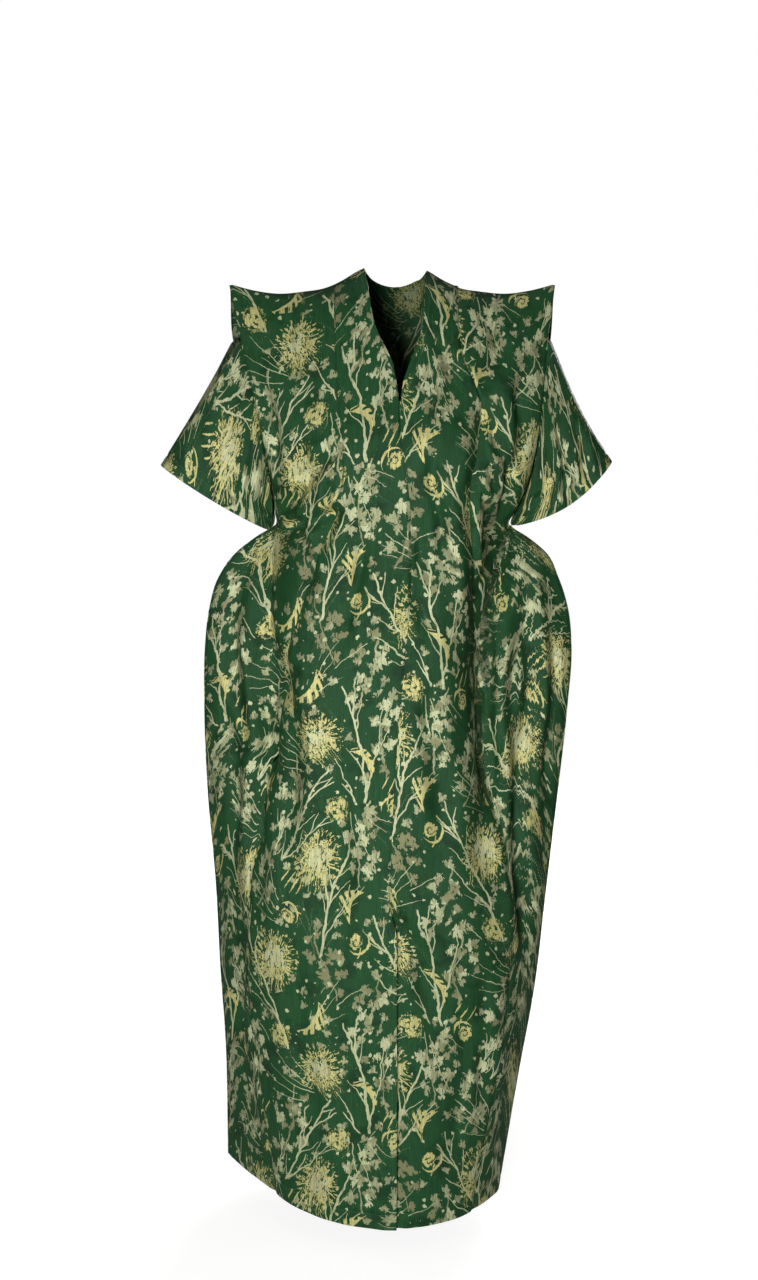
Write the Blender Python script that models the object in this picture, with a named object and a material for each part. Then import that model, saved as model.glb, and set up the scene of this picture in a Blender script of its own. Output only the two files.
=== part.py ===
"""A worn, hollow robe of stiff brocade: peaked shoulders, a V neck, short flared sleeves and full sides.

The robe is a wall of cloth around empty space. Its front and back are surfaces worked out from a table
of levels, and each sewn piece is a stretch of those surfaces between two of its seams. x runs to the
left of the one who wears it, y to the back and z up, in metres. The origin lies on the shoulder line,
in the middle of the neck.
"""

import functools

import bpy
import numpy as np

# Sizes of the cloth
CLOTH = 0.0015
SEAM_GAP = 0.0003

# The facing's width, how far it stands proud of the neck edge, how far its free edge hangs back, and its ends
FACING_WIDTH = 0.024
FACING_PROUD = 0.006
FACING_PROUD_FROM = 0.08
FACING_PROUD_BY = 0.14
FACING_MOST_SHARE = 0.4
FACING_HANG = 0.0022
FACING_TOP = 0.02
FACING_SHORT = 0.01
FACING_CELLS = 3

# The lap of the right front over the left: width, where it starts, how soon it is whole
LAP_WIDTH = 0.012
LAP_TOP = 0.92
LAP_RISE = 0.06
LAP_CREASE_SHARE = 0.06
LAP_SHOULDER = 0.35

# Heights, as drops below the shoulder line
NECK_POINT = 0.182
SLEEVE_TOP = 0.085
UNDERARM = 0.370
HEM = 1.443
SHOULDER_ROLL = 0.085
RIDGE_FADE = 0.22
HEM_SHAPE_TOP = 0.90

# How far the hem is lifted at the right and left side seams and at the back
HEM_LIFT_RIGHT = 0.027
HEM_LIFT_LEFT = 0.006
HEM_LIFT_BACK = 0.012

# Each row: drop, the front edge's x and y on the right, on the left, then how far the front and back reach
LEVEL_COLUMNS = ("drop", "right_x", "right_y", "left_x", "left_y", "front", "back")
LEVELS = (
    (0.000, -0.246, -0.020, 0.246, -0.020, -0.070, 0.072),
    (0.085, -0.229, -0.024, 0.236, -0.024, -0.088, 0.090),
    (0.160, -0.212, -0.044, 0.229, -0.044, -0.108, 0.104),
    (0.240, -0.196, -0.048, 0.220, -0.048, -0.128, 0.112),
    (0.310, -0.184, -0.036, 0.205, -0.036, -0.124, 0.106),
    (0.350, -0.181, -0.016, 0.189, -0.018, -0.119, 0.103),
    (0.370, -0.183, 0.004, 0.184, 0.002, -0.117, 0.102),
    (0.385, -0.207, 0.007, 0.207, 0.003, -0.117, 0.102),
    (0.410, -0.240, 0.010, 0.238, 0.003, -0.119, 0.104),
    (0.450, -0.270, 0.014, 0.259, 0.003, -0.124, 0.110),
    (0.500, -0.286, 0.018, 0.275, 0.002, -0.133, 0.120),
    (0.560, -0.294, 0.022, 0.281, 0.000, -0.144, 0.132),
    (0.650, -0.297, 0.026, 0.276, -0.004, -0.155, 0.142),
    (0.800, -0.294, 0.032, 0.261, -0.010, -0.164, 0.146),
    (0.950, -0.284, 0.038, 0.245, -0.017, -0.167, 0.144),
    (1.100, -0.279, 0.043, 0.229, -0.025, -0.167, 0.140),
    (1.250, -0.272, 0.047, 0.204, -0.033, -0.166, 0.136),
    (1.443, -0.271, 0.050, 0.174, -0.041, -0.165, 0.132),
)

# Each row: drop, then the x of the right and left neck edges down to the neck point
NECK_COLUMNS = ("drop", "right_x", "left_x")
NECK_EDGES = (
    (0.000, -0.0424, 0.0517),
    (0.030, -0.0365, 0.0487),
    (0.060, -0.0310, 0.0468),
    (0.080, -0.0262, 0.0446),
    (0.100, -0.0175, 0.0400),
    (0.120, -0.0088, 0.0340),
    (0.140, -0.0008, 0.0266),
    (0.160, 0.0055, 0.0182),
    (0.182, 0.0100, 0.0100),
)

# Each row: drop, then the x of the centre seam and of the long seams
SEAM_COLUMNS = ("drop", "centre_x", "right_x", "left_x")
SEAMS = (
    (0.000, 0.0050, -0.0880, 0.0985),
    (0.100, 0.0070, -0.0860, 0.1040),
    (0.182, 0.0100, -0.0800, 0.1330),
    (0.260, 0.0168, -0.0740, 0.1260),
    (0.320, 0.0250, -0.0820, 0.1150),
    (0.370, 0.0275, -0.0980, 0.1180),
    (0.450, 0.0277, -0.1260, 0.1300),
    (0.560, 0.0180, -0.1600, 0.1380),
    (0.700, 0.0060, -0.1860, 0.1420),
    (0.850, -0.0020, -0.2120, 0.1680),
    (0.950, -0.0050, -0.2240, 0.1840),
    (1.100, -0.0050, -0.2230, 0.1800),
    (1.250, -0.0050, -0.2080, 0.1580),
    (1.443, -0.0050, -0.1860, 0.1280),
)

# Below the underarm a round middle stands forward of two flat wings. Each row: drop, the x where the
# middle ends in front on the right and left, the same behind, and the height of that edge as a share
CORE_COLUMNS = ("drop", "right_front", "left_front", "right_back", "left_back", "step")
CORE = (
    (0.370, -0.183, 0.184, -0.183, 0.184, 0.00),
    (0.388, -0.184, 0.182, -0.186, 0.187, 0.02),
    (0.410, -0.184, 0.177, -0.190, 0.189, 0.09),
    (0.450, -0.184, 0.163, -0.196, 0.194, 0.22),
    (0.520, -0.185, 0.147, -0.204, 0.199, 0.36),
    (0.600, -0.186, 0.141, -0.210, 0.202, 0.43),
    (0.700, -0.187, 0.143, -0.214, 0.202, 0.45),
    (0.850, -0.212, 0.170, -0.218, 0.198, 0.45),
    (0.950, -0.226, 0.186, -0.220, 0.192, 0.45),
    (1.100, -0.225, 0.182, -0.220, 0.182, 0.46),
    (1.250, -0.209, 0.160, -0.216, 0.164, 0.48),
    (1.443, -0.187, 0.130, -0.210, 0.138, 0.50),
)
WING_PUFF = 0.010
WING_PUFF_SHARE = 0.09
CORE_ROUNDNESS = 0.75
CORE_ROUND_BY = 0.55

# Round the arms the section is squarer than a parabola: how much, and the drops where that comes and goes
UNDERARM_SQUARENESS = 2.2
SQUARE_COMES = (0.18, 0.36)
SQUARE_GOES = (0.38, 0.62)

# Height of the shoulder line away from the neck: distance from the middle, height
RIDGE_COLUMNS = ("reach", "height")
RIDGE = (
    (0.036, 0.0230),
    (0.055, 0.0140),
    (0.075, 0.0020),
    (0.100, -0.0090),
    (0.135, -0.0150),
    (0.170, -0.0180),
    (0.210, -0.0130),
    (0.248, -0.0030),
)

# The back's edge is straighter than the front's where the shoulder stands open above the sleeve
BACK_EDGE_COLUMNS = ("drop", "right_out", "left_out")
BACK_EDGE = (
    (0.000, 0.000, 0.000),
    (0.085, 0.016, 0.008),
    (0.160, 0.010, 0.004),
    (0.260, 0.002, 0.001),
    (0.370, 0.000, 0.000),
)

# Soft folds: x, how far it drifts, half width, depth, and the drops where each starts and ends
FRONT_FOLDS = (
    (-0.115, 0.020, 0.016, 0.005, 0.26, 0.52),
    (0.075, 0.030, 0.018, 0.004, 0.34, 0.62),
    (-0.070, -0.030, 0.026, 0.005, 0.70, 1.35),
    (0.065, 0.020, 0.024, 0.005, 0.85, 1.43),
    (-0.262, -0.010, 0.014, 0.004, 0.60, 1.10),
    (0.215, 0.020, 0.016, 0.004, 0.50, 0.90),
)
BACK_FOLDS = (
    (-0.150, 0.030, 0.030, 0.016, 0.30, 1.42),
    (0.135, -0.020, 0.028, 0.015, 0.32, 1.20),
    (-0.035, 0.010, 0.026, 0.008, 0.50, 1.43),
    (0.070, -0.040, 0.022, 0.007, 0.62, 1.40),
)
FOLD_ENDS = 0.7

# The folds fade out over this share of the half width next to the side seams
FRONT_FADE = 0.3
BACK_FADE = 0.5

# The long front seams lie in troughs: half width, depth, top and bottom
SEAM_TROUGHS = {"right": (0.014, 0.005, 0.20, 0.75), "left": (0.013, 0.017, 0.17, 0.78)}
TROUGH_ENDS = 0.6

# Cuff corners of the sleeves, and half the depth from front to back
CUFF_OUTER = {"right": (-0.354, -0.006, -0.2755), "left": (0.336, -0.010, -0.2694)}
CUFF_INNER = {"right": (-0.190, 0.002, -0.3760), "left": (0.191, 0.000, -0.3690)}
CUFF_HALF_DEPTH = 0.046
CUFF_ROUNDNESS = 0.8
CUFF_BOW = {"right": 0.002, "left": 0.014}
OVERARM_SAG = {"right": 0.002, "left": 0.015}
SLEEVE_STEPS = 6
SLEEVE_SWELL = 0.010
SLEEVE_GAP = 0.0004
UNDERARM_STEP = 0.0024

# Between the front and back edges the top of the armhole is bridged by the sleeve alone
BRIDGE_STEPS = 3
BRIDGE_RISE = 0.004
CUFF_CORNER = 0.03

# Rows of the grids, as drops
UPPER_ROWS = (0.0, 0.003, 0.012, 0.028, 0.048, 0.068, 0.085, 0.105, 0.125, 0.145, 0.165, 0.182)
MIDDLE_ROWS = (0.210, 0.240, 0.270, 0.300, 0.325, 0.350, 0.370)
WING_ROWS = (0.377, 0.385, 0.397, 0.410, 0.430, 0.455, 0.485, 0.520)
LOWER_ROW_COUNT = 21
CENTRE_CELLS = 6
SIDE_CELLS = 6
BACK_HALF_CELLS = 6
BACK_NECK_CELLS = 6
BACK_NECK_DROP = 0.028
BACK_NECK_SHAPED = 0.105
BACK_SPREAD = 0.42 * np.pi

# The slope of the cloth is read over this much share and root
NUDGE = 0.004
SMALLEST_SLOPE = 0.05
MITRE_SHARE = 0.4
EDGE_ANGLE = np.radians(50)

GREEN = (0.010, 0.085, 0.042, 1.0)
GREEN_INSIDE = (0.016, 0.070, 0.038, 1.0)
ROBE_NAME = "grand_boubou_robe"


def column(table, names, name, at):
    """The named column at these drops: a cubic through the rows, its slopes read from their neighbours."""
    rows = np.array(table)
    x = rows[:, 0]
    y = rows[:, names.index(name)]
    slopes = np.gradient(y, x)
    at = np.clip(at, x[0], x[-1])
    i = np.clip(np.searchsorted(x, at) - 1, 0, len(x) - 2)
    span = x[i + 1] - x[i]
    s = (at - x[i]) / span
    start = (2 * s**3 - 3 * s**2 + 1) * y[i] + (s**3 - 2 * s**2 + s) * span * slopes[i]
    end = (-2 * s**3 + 3 * s**2) * y[i + 1] + (s**3 - s**2) * span * slopes[i + 1]
    return start + end


def ease(low, high, value):
    """0 below low, 1 above high and a smooth step between them."""
    s = np.clip((value - low) / (high - low), 0.0, 1.0)
    return s * s * (3 - 2 * s)


def all_rows():
    """The drops of every row, from the shoulder line to the hem."""
    lower = np.linspace(WING_ROWS[-1], HEM, LOWER_ROW_COUNT + 1)[1:]
    return np.concatenate([UPPER_ROWS, MIDDLE_ROWS, WING_ROWS, lower])


def side_x(side, drop, back=False):
    """x of the armhole edge, and below it of the side seam."""
    x = column(LEVELS, LEVEL_COLUMNS, side + "_x", drop)
    if back:
        out = column(BACK_EDGE, BACK_EDGE_COLUMNS, side + "_out", drop)
        x = x + np.sign(x) * out
    return x


def side_y(side, drop, back=False):
    """y of the same edge: the front and back edges part round the arm, and meet in the side seam."""
    y = column(LEVELS, LEVEL_COLUMNS, side + "_y", drop)
    if back:
        seam_y = column(LEVELS, LEVEL_COLUMNS, side + "_y", UNDERARM)
        return np.where(drop < UNDERARM, 2 * seam_y - y, y)
    return y


def roll(root):
    """Share of the full depth that the cloth has at this drop, a quarter circle over the shoulder."""
    s = np.clip(root / np.sqrt(SHOULDER_ROLL), -1.0, 1.0)
    return s * np.sqrt(2.0 - s * s)


def folds(table, x, drop):
    """Depth of the soft folds at these places: each is a bell across and fades out at both ends."""
    depth = np.zeros(np.broadcast(x, drop).shape)
    for middle, drift, width, deep, top, bottom in table:
        along = np.clip((drop - top) / (bottom - top), 0.0, 1.0)
        centre = middle + drift * along
        across = np.exp(-(((x - centre) / width) ** 2))
        depth = depth + deep * across * np.sin(np.pi * along) ** FOLD_ENDS
    return depth


def height(x, share, drop, lift):
    """z of the cloth: the shoulder line's shape fades downwards and the hem's shape grows towards it."""
    ridge = column(RIDGE, RIDGE_COLUMNS, "height", np.abs(x))
    ridge = ridge * (1.0 - ease(0.0, RIDGE_FADE, drop))
    return ridge - drop + lift * share**2 * ease(HEM_SHAPE_TOP, HEM, drop)


def section(side, face, share, drop, centre, edge, edge_y, reach):
    """y across one half of the robe: a round middle, then a flat wing that comes in to the side seam."""
    core = column(CORE, CORE_COLUMNS, side + "_" + face, drop)
    core = np.where(drop < UNDERARM, edge, core)
    core_share = (core - centre) / (edge - centre)
    core_y = edge_y + (reach - edge_y) * column(CORE, CORE_COLUMNS, "step", drop)
    square = ease(*SQUARE_COMES, drop) * (1.0 - ease(*SQUARE_GOES, drop))
    squareness = 2.0 + UNDERARM_SQUARENESS * square
    inside = np.clip(1.0 - np.abs(share / core_share) ** squareness, 0.0, 1.0)
    roundness = 1.0 - (1.0 - CORE_ROUNDNESS) * ease(UNDERARM, CORE_ROUND_BY, drop)
    middle = core_y + (reach - core_y) * inside**roundness
    beyond = np.clip((share - core_share) / np.maximum(1.0 - core_share, 1e-6), 0.0, 1.0)
    puff = np.minimum(WING_PUFF, WING_PUFF_SHARE * np.abs(edge - core)) * np.sin(np.pi * beyond)
    wing = core_y + (edge_y - core_y) * beyond + np.sign(reach) * puff
    chest = edge_y + (reach - edge_y) * (1.0 - np.abs(share) ** squareness)
    return np.where(drop < UNDERARM, chest, np.where(share < core_share, middle, wing))


def front_point(side, share, root):
    """A point of the front. share is 0 at the centre seam and 1 at the side, root squared is the drop."""
    drop = root * root
    centre = column(SEAMS, SEAM_COLUMNS, "centre_x", drop)
    edge = side_x(side, drop)
    x = centre + share * (edge - centre)
    reach = column(LEVELS, LEVEL_COLUMNS, "front", drop)
    y = section(side, "front", share, drop, centre, edge, side_y(side, drop), reach)
    width, depth, top, bottom = SEAM_TROUGHS[side]
    seam = column(SEAMS, SEAM_COLUMNS, side + "_x", drop)
    along = np.clip((drop - top) / (bottom - top), 0.0, 1.0)
    trough = depth * np.exp(-(((x - seam) / width) ** 2)) * np.sin(np.pi * along) ** TROUGH_ENDS
    y = y + (folds(FRONT_FOLDS, x, drop) + trough) * ease(0.0, FRONT_FADE, 1.0 - share)
    lift = HEM_LIFT_RIGHT if side == "right" else HEM_LIFT_LEFT
    return np.stack([x, y * roll(root), height(x, share, drop, lift)], axis=-1)


def back_point(share, root):
    """A point of the back. share runs from -1 at the right side to 1 at the left."""
    drop = root * root
    right = side_x("right", drop, back=True)
    left = side_x("left", drop, back=True)
    centre = (right + left) / 2.0
    toward_left = (share + 1.0) / 2.0
    x = right + (left - right) * toward_left
    reach = column(LEVELS, LEVEL_COLUMNS, "back", drop)
    right_y = side_y("right", drop, back=True)
    left_y = side_y("left", drop, back=True)
    away = np.abs(share)
    on_right = section("right", "back", away, drop, centre, right, right_y, reach)
    on_left = section("left", "back", away, drop, centre, left, left_y, reach)
    y = np.where(share < 0, on_right, on_left)
    y = y - folds(BACK_FOLDS, x, drop) * ease(0.0, BACK_FADE, 1.0 - away)
    side_lift = HEM_LIFT_RIGHT * (1 - toward_left) + HEM_LIFT_LEFT * toward_left
    z = height(x, share, drop, side_lift) + HEM_LIFT_BACK * (1 - share**2) * ease(HEM_SHAPE_TOP, HEM, drop)
    return np.stack([x, y * roll(root), z], axis=-1)


def inward(point, share, root, outside_y):
    """The step from the outer face of the cloth to its inner face, square to the surface."""
    across = point(share + NUDGE, root) - point(share - NUDGE, root)
    down = point(share, root + NUDGE) - point(share, root - NUDGE)
    normal = np.cross(across, down)
    normal = normal / np.linalg.norm(normal, axis=-1, keepdims=True)
    turn = np.sign(normal[..., 1:2] * outside_y + 1e-9)
    # On the shoulder line the outside is up, where y says nothing.
    turn = np.where(np.abs(normal[..., 2:3]) > 0.95, np.sign(normal[..., 2:3]), turn)
    return -CLOTH * normal * turn


def mitre_sides(outer, step, rows, edge_column, next_column, outside_y):
    """Along a side seam the inner edge runs towards the middle, on the plane where front and back part."""
    seam = rows >= UNDERARM - 1e-9
    edge = outer[seam, edge_column]
    to_middle = outer[seam, next_column] - edge
    slope = np.abs(to_middle[:, 1]) / np.linalg.norm(to_middle, axis=1)
    most = MITRE_SHARE * np.abs(to_middle[:, 0])
    length = np.minimum(CLOTH / np.maximum(slope, SMALLEST_SLOPE), most)
    step[seam, edge_column] = 0.0
    step[seam, edge_column, 0] = np.sign(to_middle[:, 0]) * length
    outer[seam, edge_column, 1] += outside_y * SEAM_GAP / 2


def wall_faces(rows, cols, ring):
    """Quads of a wall whose outer points come first and inner points after, closed all round its rim."""
    grid = np.arange(rows * cols).reshape(rows, cols)
    if ring:
        grid = np.concatenate([grid, grid[:, :1]], axis=1)
    inner = grid + rows * cols
    outer_quads = np.stack([grid[:-1, :-1], grid[1:, :-1], grid[1:, 1:], grid[:-1, 1:]], axis=-1)
    inner_quads = np.stack([inner[:-1, :-1], inner[:-1, 1:], inner[1:, 1:], inner[1:, :-1]], axis=-1)
    top = np.stack([grid[0, :-1], grid[0, 1:], inner[0, 1:], inner[0, :-1]], axis=-1)
    bottom = np.stack([grid[-1, 1:], grid[-1, :-1], inner[-1, :-1], inner[-1, 1:]], axis=-1)
    quads = [outer_quads.reshape(-1, 4), inner_quads.reshape(-1, 4), top, bottom]
    if not ring:
        quads.append(np.stack([grid[1:, 0], grid[:-1, 0], inner[:-1, 0], inner[1:, 0]], axis=-1))
        quads.append(np.stack([grid[:-1, -1], grid[1:, -1], inner[1:, -1], inner[:-1, -1]], axis=-1))
    return np.concatenate(quads)


def cloth_material(name, colour):
    """Satin woven cloth in one colour."""
    material = bpy.data.materials.new(name + "_cloth")
    material.use_nodes = True
    shader = material.node_tree.nodes["Principled BSDF"]
    shader.inputs["Base Color"].default_value = colour
    shader.inputs["Roughness"].default_value = 0.55
    shader.inputs["Metallic"].default_value = 0.0
    material.diffuse_color = colour
    return material


def add_wall(collection, name, outer, step, flip=False, ring=False, colour=GREEN):
    """Makes one named piece of cloth from its outer points and the steps to its inner ones."""
    rows, cols = outer.shape[:2]
    points = np.concatenate([outer.reshape(-1, 3), (outer + step).reshape(-1, 3)])
    faces = wall_faces(rows, cols, ring)
    if flip:
        faces = faces[:, ::-1]
    mesh = bpy.data.meshes.new(name)
    mesh.from_pydata(points.tolist(), [], faces.tolist())
    mesh.validate()
    mesh.shade_smooth()
    mesh.set_sharp_from_angle(angle=EDGE_ANGLE)
    mesh.materials.append(cloth_material(name, colour))
    piece = bpy.data.objects.new(name, mesh)
    collection.objects.link(piece)


def share_at(side, drop, x):
    """The share of the front's width at which the cloth has this x."""
    centre = column(SEAMS, SEAM_COLUMNS, "centre_x", drop)
    return (x - centre) / (side_x(side, drop) - centre)


def inner_edge_x(side, drop):
    """x of the neck edge, and below the neck point of the centre seam."""
    neck = column(NECK_EDGES, NECK_COLUMNS, side + "_x", drop)
    seam = column(SEAMS, SEAM_COLUMNS, "centre_x", drop)
    outward = -1.0 if side == "right" else 1.0
    return np.where(drop < NECK_POINT, neck, seam) + outward * SEAM_GAP / 2


def lap_at(drop):
    """How far the upper half of the slit is raised, and how far it laps over, from 0 to 1."""
    raised = ease(LAP_TOP - LAP_RISE, LAP_TOP, drop)
    lapped = ease(LAP_TOP, LAP_TOP + LAP_RISE, drop)
    return raised, lapped


def front_centre(collection, side):
    """Half of the centre front, from the neck edge and the centre seam to the long seam."""
    rows = all_rows()
    outward = -1.0 if side == "right" else 1.0
    inner = inner_edge_x(side, rows)
    outer_edge = column(SEAMS, SEAM_COLUMNS, side + "_x", rows) - outward * SEAM_GAP / 2
    shares = np.linspace(0.0, 1.0, CENTRE_CELLS + 1)
    raised, lapped = lap_at(rows)
    if side == "right":
        shares = np.concatenate([[0.0, LAP_CREASE_SHARE], shares[1:]])
    x = inner[:, None] + (outer_edge - inner)[:, None] * shares
    if side == "right":
        x[:, 0] += LAP_WIDTH * lapped
    share = share_at(side, rows[:, None], x)
    root = np.sqrt(rows)[:, None] * np.ones_like(share)
    point = functools.partial(front_point, side)
    outer = point(share, root)
    step = inward(point, share, root, -1.0)
    if side == "right":
        lift = np.zeros_like(share)
        lift[:, :2] = raised[:, None]
        lift[:, 2] = LAP_SHOULDER * raised
        outer = outer - step / CLOTH * (lift * (CLOTH + 2 * SEAM_GAP))[..., None]
    add_wall(collection, "front_centre_" + side, outer, step, flip=side == "right")


def front_side(collection, side):
    """The side front, out to the armhole and the side seam. Gives back the points and steps of that edge."""
    rows = all_rows()
    outward = -1.0 if side == "right" else 1.0
    inner = column(SEAMS, SEAM_COLUMNS, side + "_x", rows) + outward * SEAM_GAP / 2
    edge = side_x(side, rows)
    shares = np.linspace(0.0, 1.0, SIDE_CELLS + 1)
    x = inner[:, None] + (edge - inner)[:, None] * shares
    share = share_at(side, rows[:, None], x)
    root = np.sqrt(rows)[:, None] * np.ones_like(share)
    point = functools.partial(front_point, side)
    outer = point(share, root)
    step = inward(point, share, root, -1.0)
    mitre_sides(outer, step, rows, -1, -2, -1.0)
    outer[0, :, 1] -= SEAM_GAP / 2
    add_wall(collection, "front_side_" + side, outer, step, flip=side == "right")
    return outer[:, -1], step[:, -1]


def back_grid(rows):
    """Shares and roots of the back's points. Between the neck points its top rows scoop down."""
    width = side_x("left", 0.0, back=True) - side_x("right", 0.0, back=True)
    to_share = 2.0 / width
    start = side_x("right", 0.0, back=True)
    neck_right = (column(NECK_EDGES, NECK_COLUMNS, "right_x", 0.0) - start) * to_share - 1.0
    neck_left = (column(NECK_EDGES, NECK_COLUMNS, "left_x", 0.0) - start) * to_share - 1.0
    spread = np.sin(np.linspace(0.0, BACK_SPREAD, BACK_HALF_CELLS + 1)) / np.sin(BACK_SPREAD)
    right = neck_right + (-1.0 - neck_right) * spread[::-1]
    middle = np.linspace(neck_right, neck_left, BACK_NECK_CELLS + 1)[1:-1]
    left = neck_left + (1.0 - neck_left) * spread
    share = np.concatenate([right, middle, left])
    across = np.clip((share - neck_right) / (neck_left - neck_right), 0.0, 1.0)
    scoop = BACK_NECK_DROP * np.sqrt(np.sin(np.pi * across))
    keep = np.clip(1.0 - rows / BACK_NECK_SHAPED, 0.0, 1.0)
    drop = rows[:, None] + scoop * keep[:, None]
    return share * np.ones_like(drop), np.sqrt(drop)


def back(collection):
    """The plain back, in one piece with a low neck edge. Gives back its outer points and its steps."""
    rows = all_rows()
    share, root = back_grid(rows)
    outer = back_point(share, root)
    step = inward(back_point, share, root, 1.0)
    mitre_sides(outer, step, rows, 0, 1, 1.0)
    mitre_sides(outer, step, rows, -1, -2, 1.0)
    outer[0, :, 1] += SEAM_GAP / 2
    add_wall(collection, "back", outer, step, flip=True)
    return outer, step


def sleeve(collection, side, front_edge, front_step, back_edge, back_step):
    """A flared tube from the armhole to a wide, slanted cuff, folded flat along its top and its underarm."""
    rows = all_rows()
    armhole = (rows >= SLEEVE_TOP - 1e-9) & (rows <= UNDERARM + 1e-9)
    outward = -1.0 if side == "right" else 1.0
    front = front_edge[armhole]
    behind = back_edge[armhole][::-1]
    under = (front[-1] + behind[0]) / 2
    s = np.linspace(0.0, 1.0, BRIDGE_STEPS + 2)[1:-1, None]
    bridge = behind[-1] * (1 - s) + front[0] * s
    bridge[:, 2] += BRIDGE_RISE * np.sin(np.pi * s[:, 0])
    start = np.concatenate([front[:-1], under[None], behind[1:], bridge])
    start[:, 0] += outward * SLEEVE_GAP

    bridge_step = np.zeros_like(bridge)
    bridge_step[:, 2] = -CLOTH
    under_step = np.array([[0.0, 0.0, UNDERARM_STEP]])
    start_step = np.concatenate(
        [front_step[armhole][:-1], under_step, back_step[armhole][::-1][1:], bridge_step]
    )

    count = len(front) - 1
    chord = CUFF_CORNER + (1.0 - CUFF_CORNER) * np.arange(count) / count
    front_turn = np.arccos(1.0 - 2.0 * chord)
    corner = front_turn[0]
    bridge_turn = np.linspace(-corner, corner, BRIDGE_STEPS + 2)[1:-1]
    turn = np.concatenate([front_turn, [np.pi], 2 * np.pi - front_turn[::-1], bridge_turn])
    outer_corner = np.array(CUFF_OUTER[side])
    inner_corner = np.array(CUFF_INNER[side])
    along = (1.0 - np.cos(turn)) / 2.0
    end = outer_corner + (inner_corner - outer_corner) * along[:, None]
    end[:, 1] -= CUFF_HALF_DEPTH * np.sign(np.sin(turn)) * np.abs(np.sin(turn)) ** CUFF_ROUNDNESS

    t = np.linspace(0.0, 1.0, SLEEVE_STEPS + 1)[:, None, None]
    outer = start * (1 - t) + end * t
    swell = np.sin(np.pi * t[..., 0])
    bow = CUFF_BOW[side] * np.sin(np.pi * along) * t[..., 0] ** 1.5
    outer[..., 1] -= SLEEVE_SWELL * swell * np.sin(turn)
    outer[..., 2] -= OVERARM_SAG[side] * swell * (1.0 - along) ** 2 + bow
    outer[..., 0] += outward * bow / 2
    step = ring_inward(outer)
    step[0] = start_step
    add_wall(collection, "sleeve_" + side, outer, step, flip=side == "left", ring=True)


def ring_inward(outer):
    """Steps to the inner face of a tube whose rows are closed rings, square to the cloth on both sides."""
    middle = outer.mean(axis=1, keepdims=True)
    across = np.roll(outer, -1, axis=1) - np.roll(outer, 1, axis=1)
    along = np.gradient(outer, axis=0)
    normal = np.cross(across, along)
    normal = normal / np.linalg.norm(normal, axis=-1, keepdims=True)
    outside = np.sign(np.sum(normal * (outer - middle), axis=(1, 2), keepdims=True))
    normal = normal * outside
    before = outer - np.roll(outer, 1, axis=1)
    after = np.roll(outer, -1, axis=1) - outer
    before = before / np.linalg.norm(before, axis=-1, keepdims=True)
    after = after / np.linalg.norm(after, axis=-1, keepdims=True)
    bend = np.sqrt(np.clip((1.0 + np.sum(before * after, axis=-1, keepdims=True)) / 2.0, 0.25, 1.0))
    return -CLOTH * normal / bend


def neck_facing(collection, side):
    """A narrow strip turned in along the neck edge, which stands a little proud of it low in the V."""
    rows = all_rows()
    rows = rows[(rows > FACING_TOP) & (rows < NECK_POINT - FACING_SHORT)]
    outward = -1.0 if side == "right" else 1.0
    neck = column(NECK_EDGES, NECK_COLUMNS, side + "_x", rows)
    half_open = np.abs(neck - column(SEAMS, SEAM_COLUMNS, "centre_x", rows))
    proud = FACING_PROUD * ease(FACING_PROUD_FROM, FACING_PROUD_BY, rows)
    proud = np.minimum(proud, FACING_MOST_SHARE * half_open)
    inner = neck - outward * proud
    outer_edge = neck + outward * FACING_WIDTH
    shares = np.linspace(0.0, 1.0, FACING_CELLS + 1)
    x = inner[:, None] + (outer_edge - inner)[:, None] * shares
    share = share_at(side, rows[:, None], x)
    root = np.sqrt(rows)[:, None] * np.ones_like(share)
    point = functools.partial(front_point, side)
    step = inward(point, share, root, -1.0)
    hang = 1.0 + (SEAM_GAP + FACING_HANG * (1 - shares)) / CLOTH
    outer = point(share, root) + step * hang[None, :, None]
    flip = side == "right"
    add_wall(collection, "neck_facing_" + side, outer, step, flip=flip, colour=GREEN_INSIDE)


def clear_scene():
    for item in list(bpy.data.objects):
        bpy.data.objects.remove(item, do_unlink=True)


def main():
    clear_scene()
    collection = bpy.data.collections.new(ROBE_NAME)
    bpy.context.scene.collection.children.link(collection)
    back_outer, back_steps = back(collection)
    for side, back_column in (("right", 0), ("left", -1)):
        front_centre(collection, side)
        edge, steps = front_side(collection, side)
        sleeve(collection, side, edge, steps, back_outer[:, back_column], back_steps[:, back_column])
        neck_facing(collection, side)


if __name__ == "__main__":
    main()
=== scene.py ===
"""A worn, hollow robe of stiff green brocade, figured in gold and champagne, dressed for a render.

Each sewn piece is a thin shell on the same surfaces as its solid: grids of points worked out from the
table of levels, with the creases added. x runs to the left of the one who wears it, y to the back and
z up, in metres. The origin lies on the shoulder line, in the middle of the neck.
"""

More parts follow.
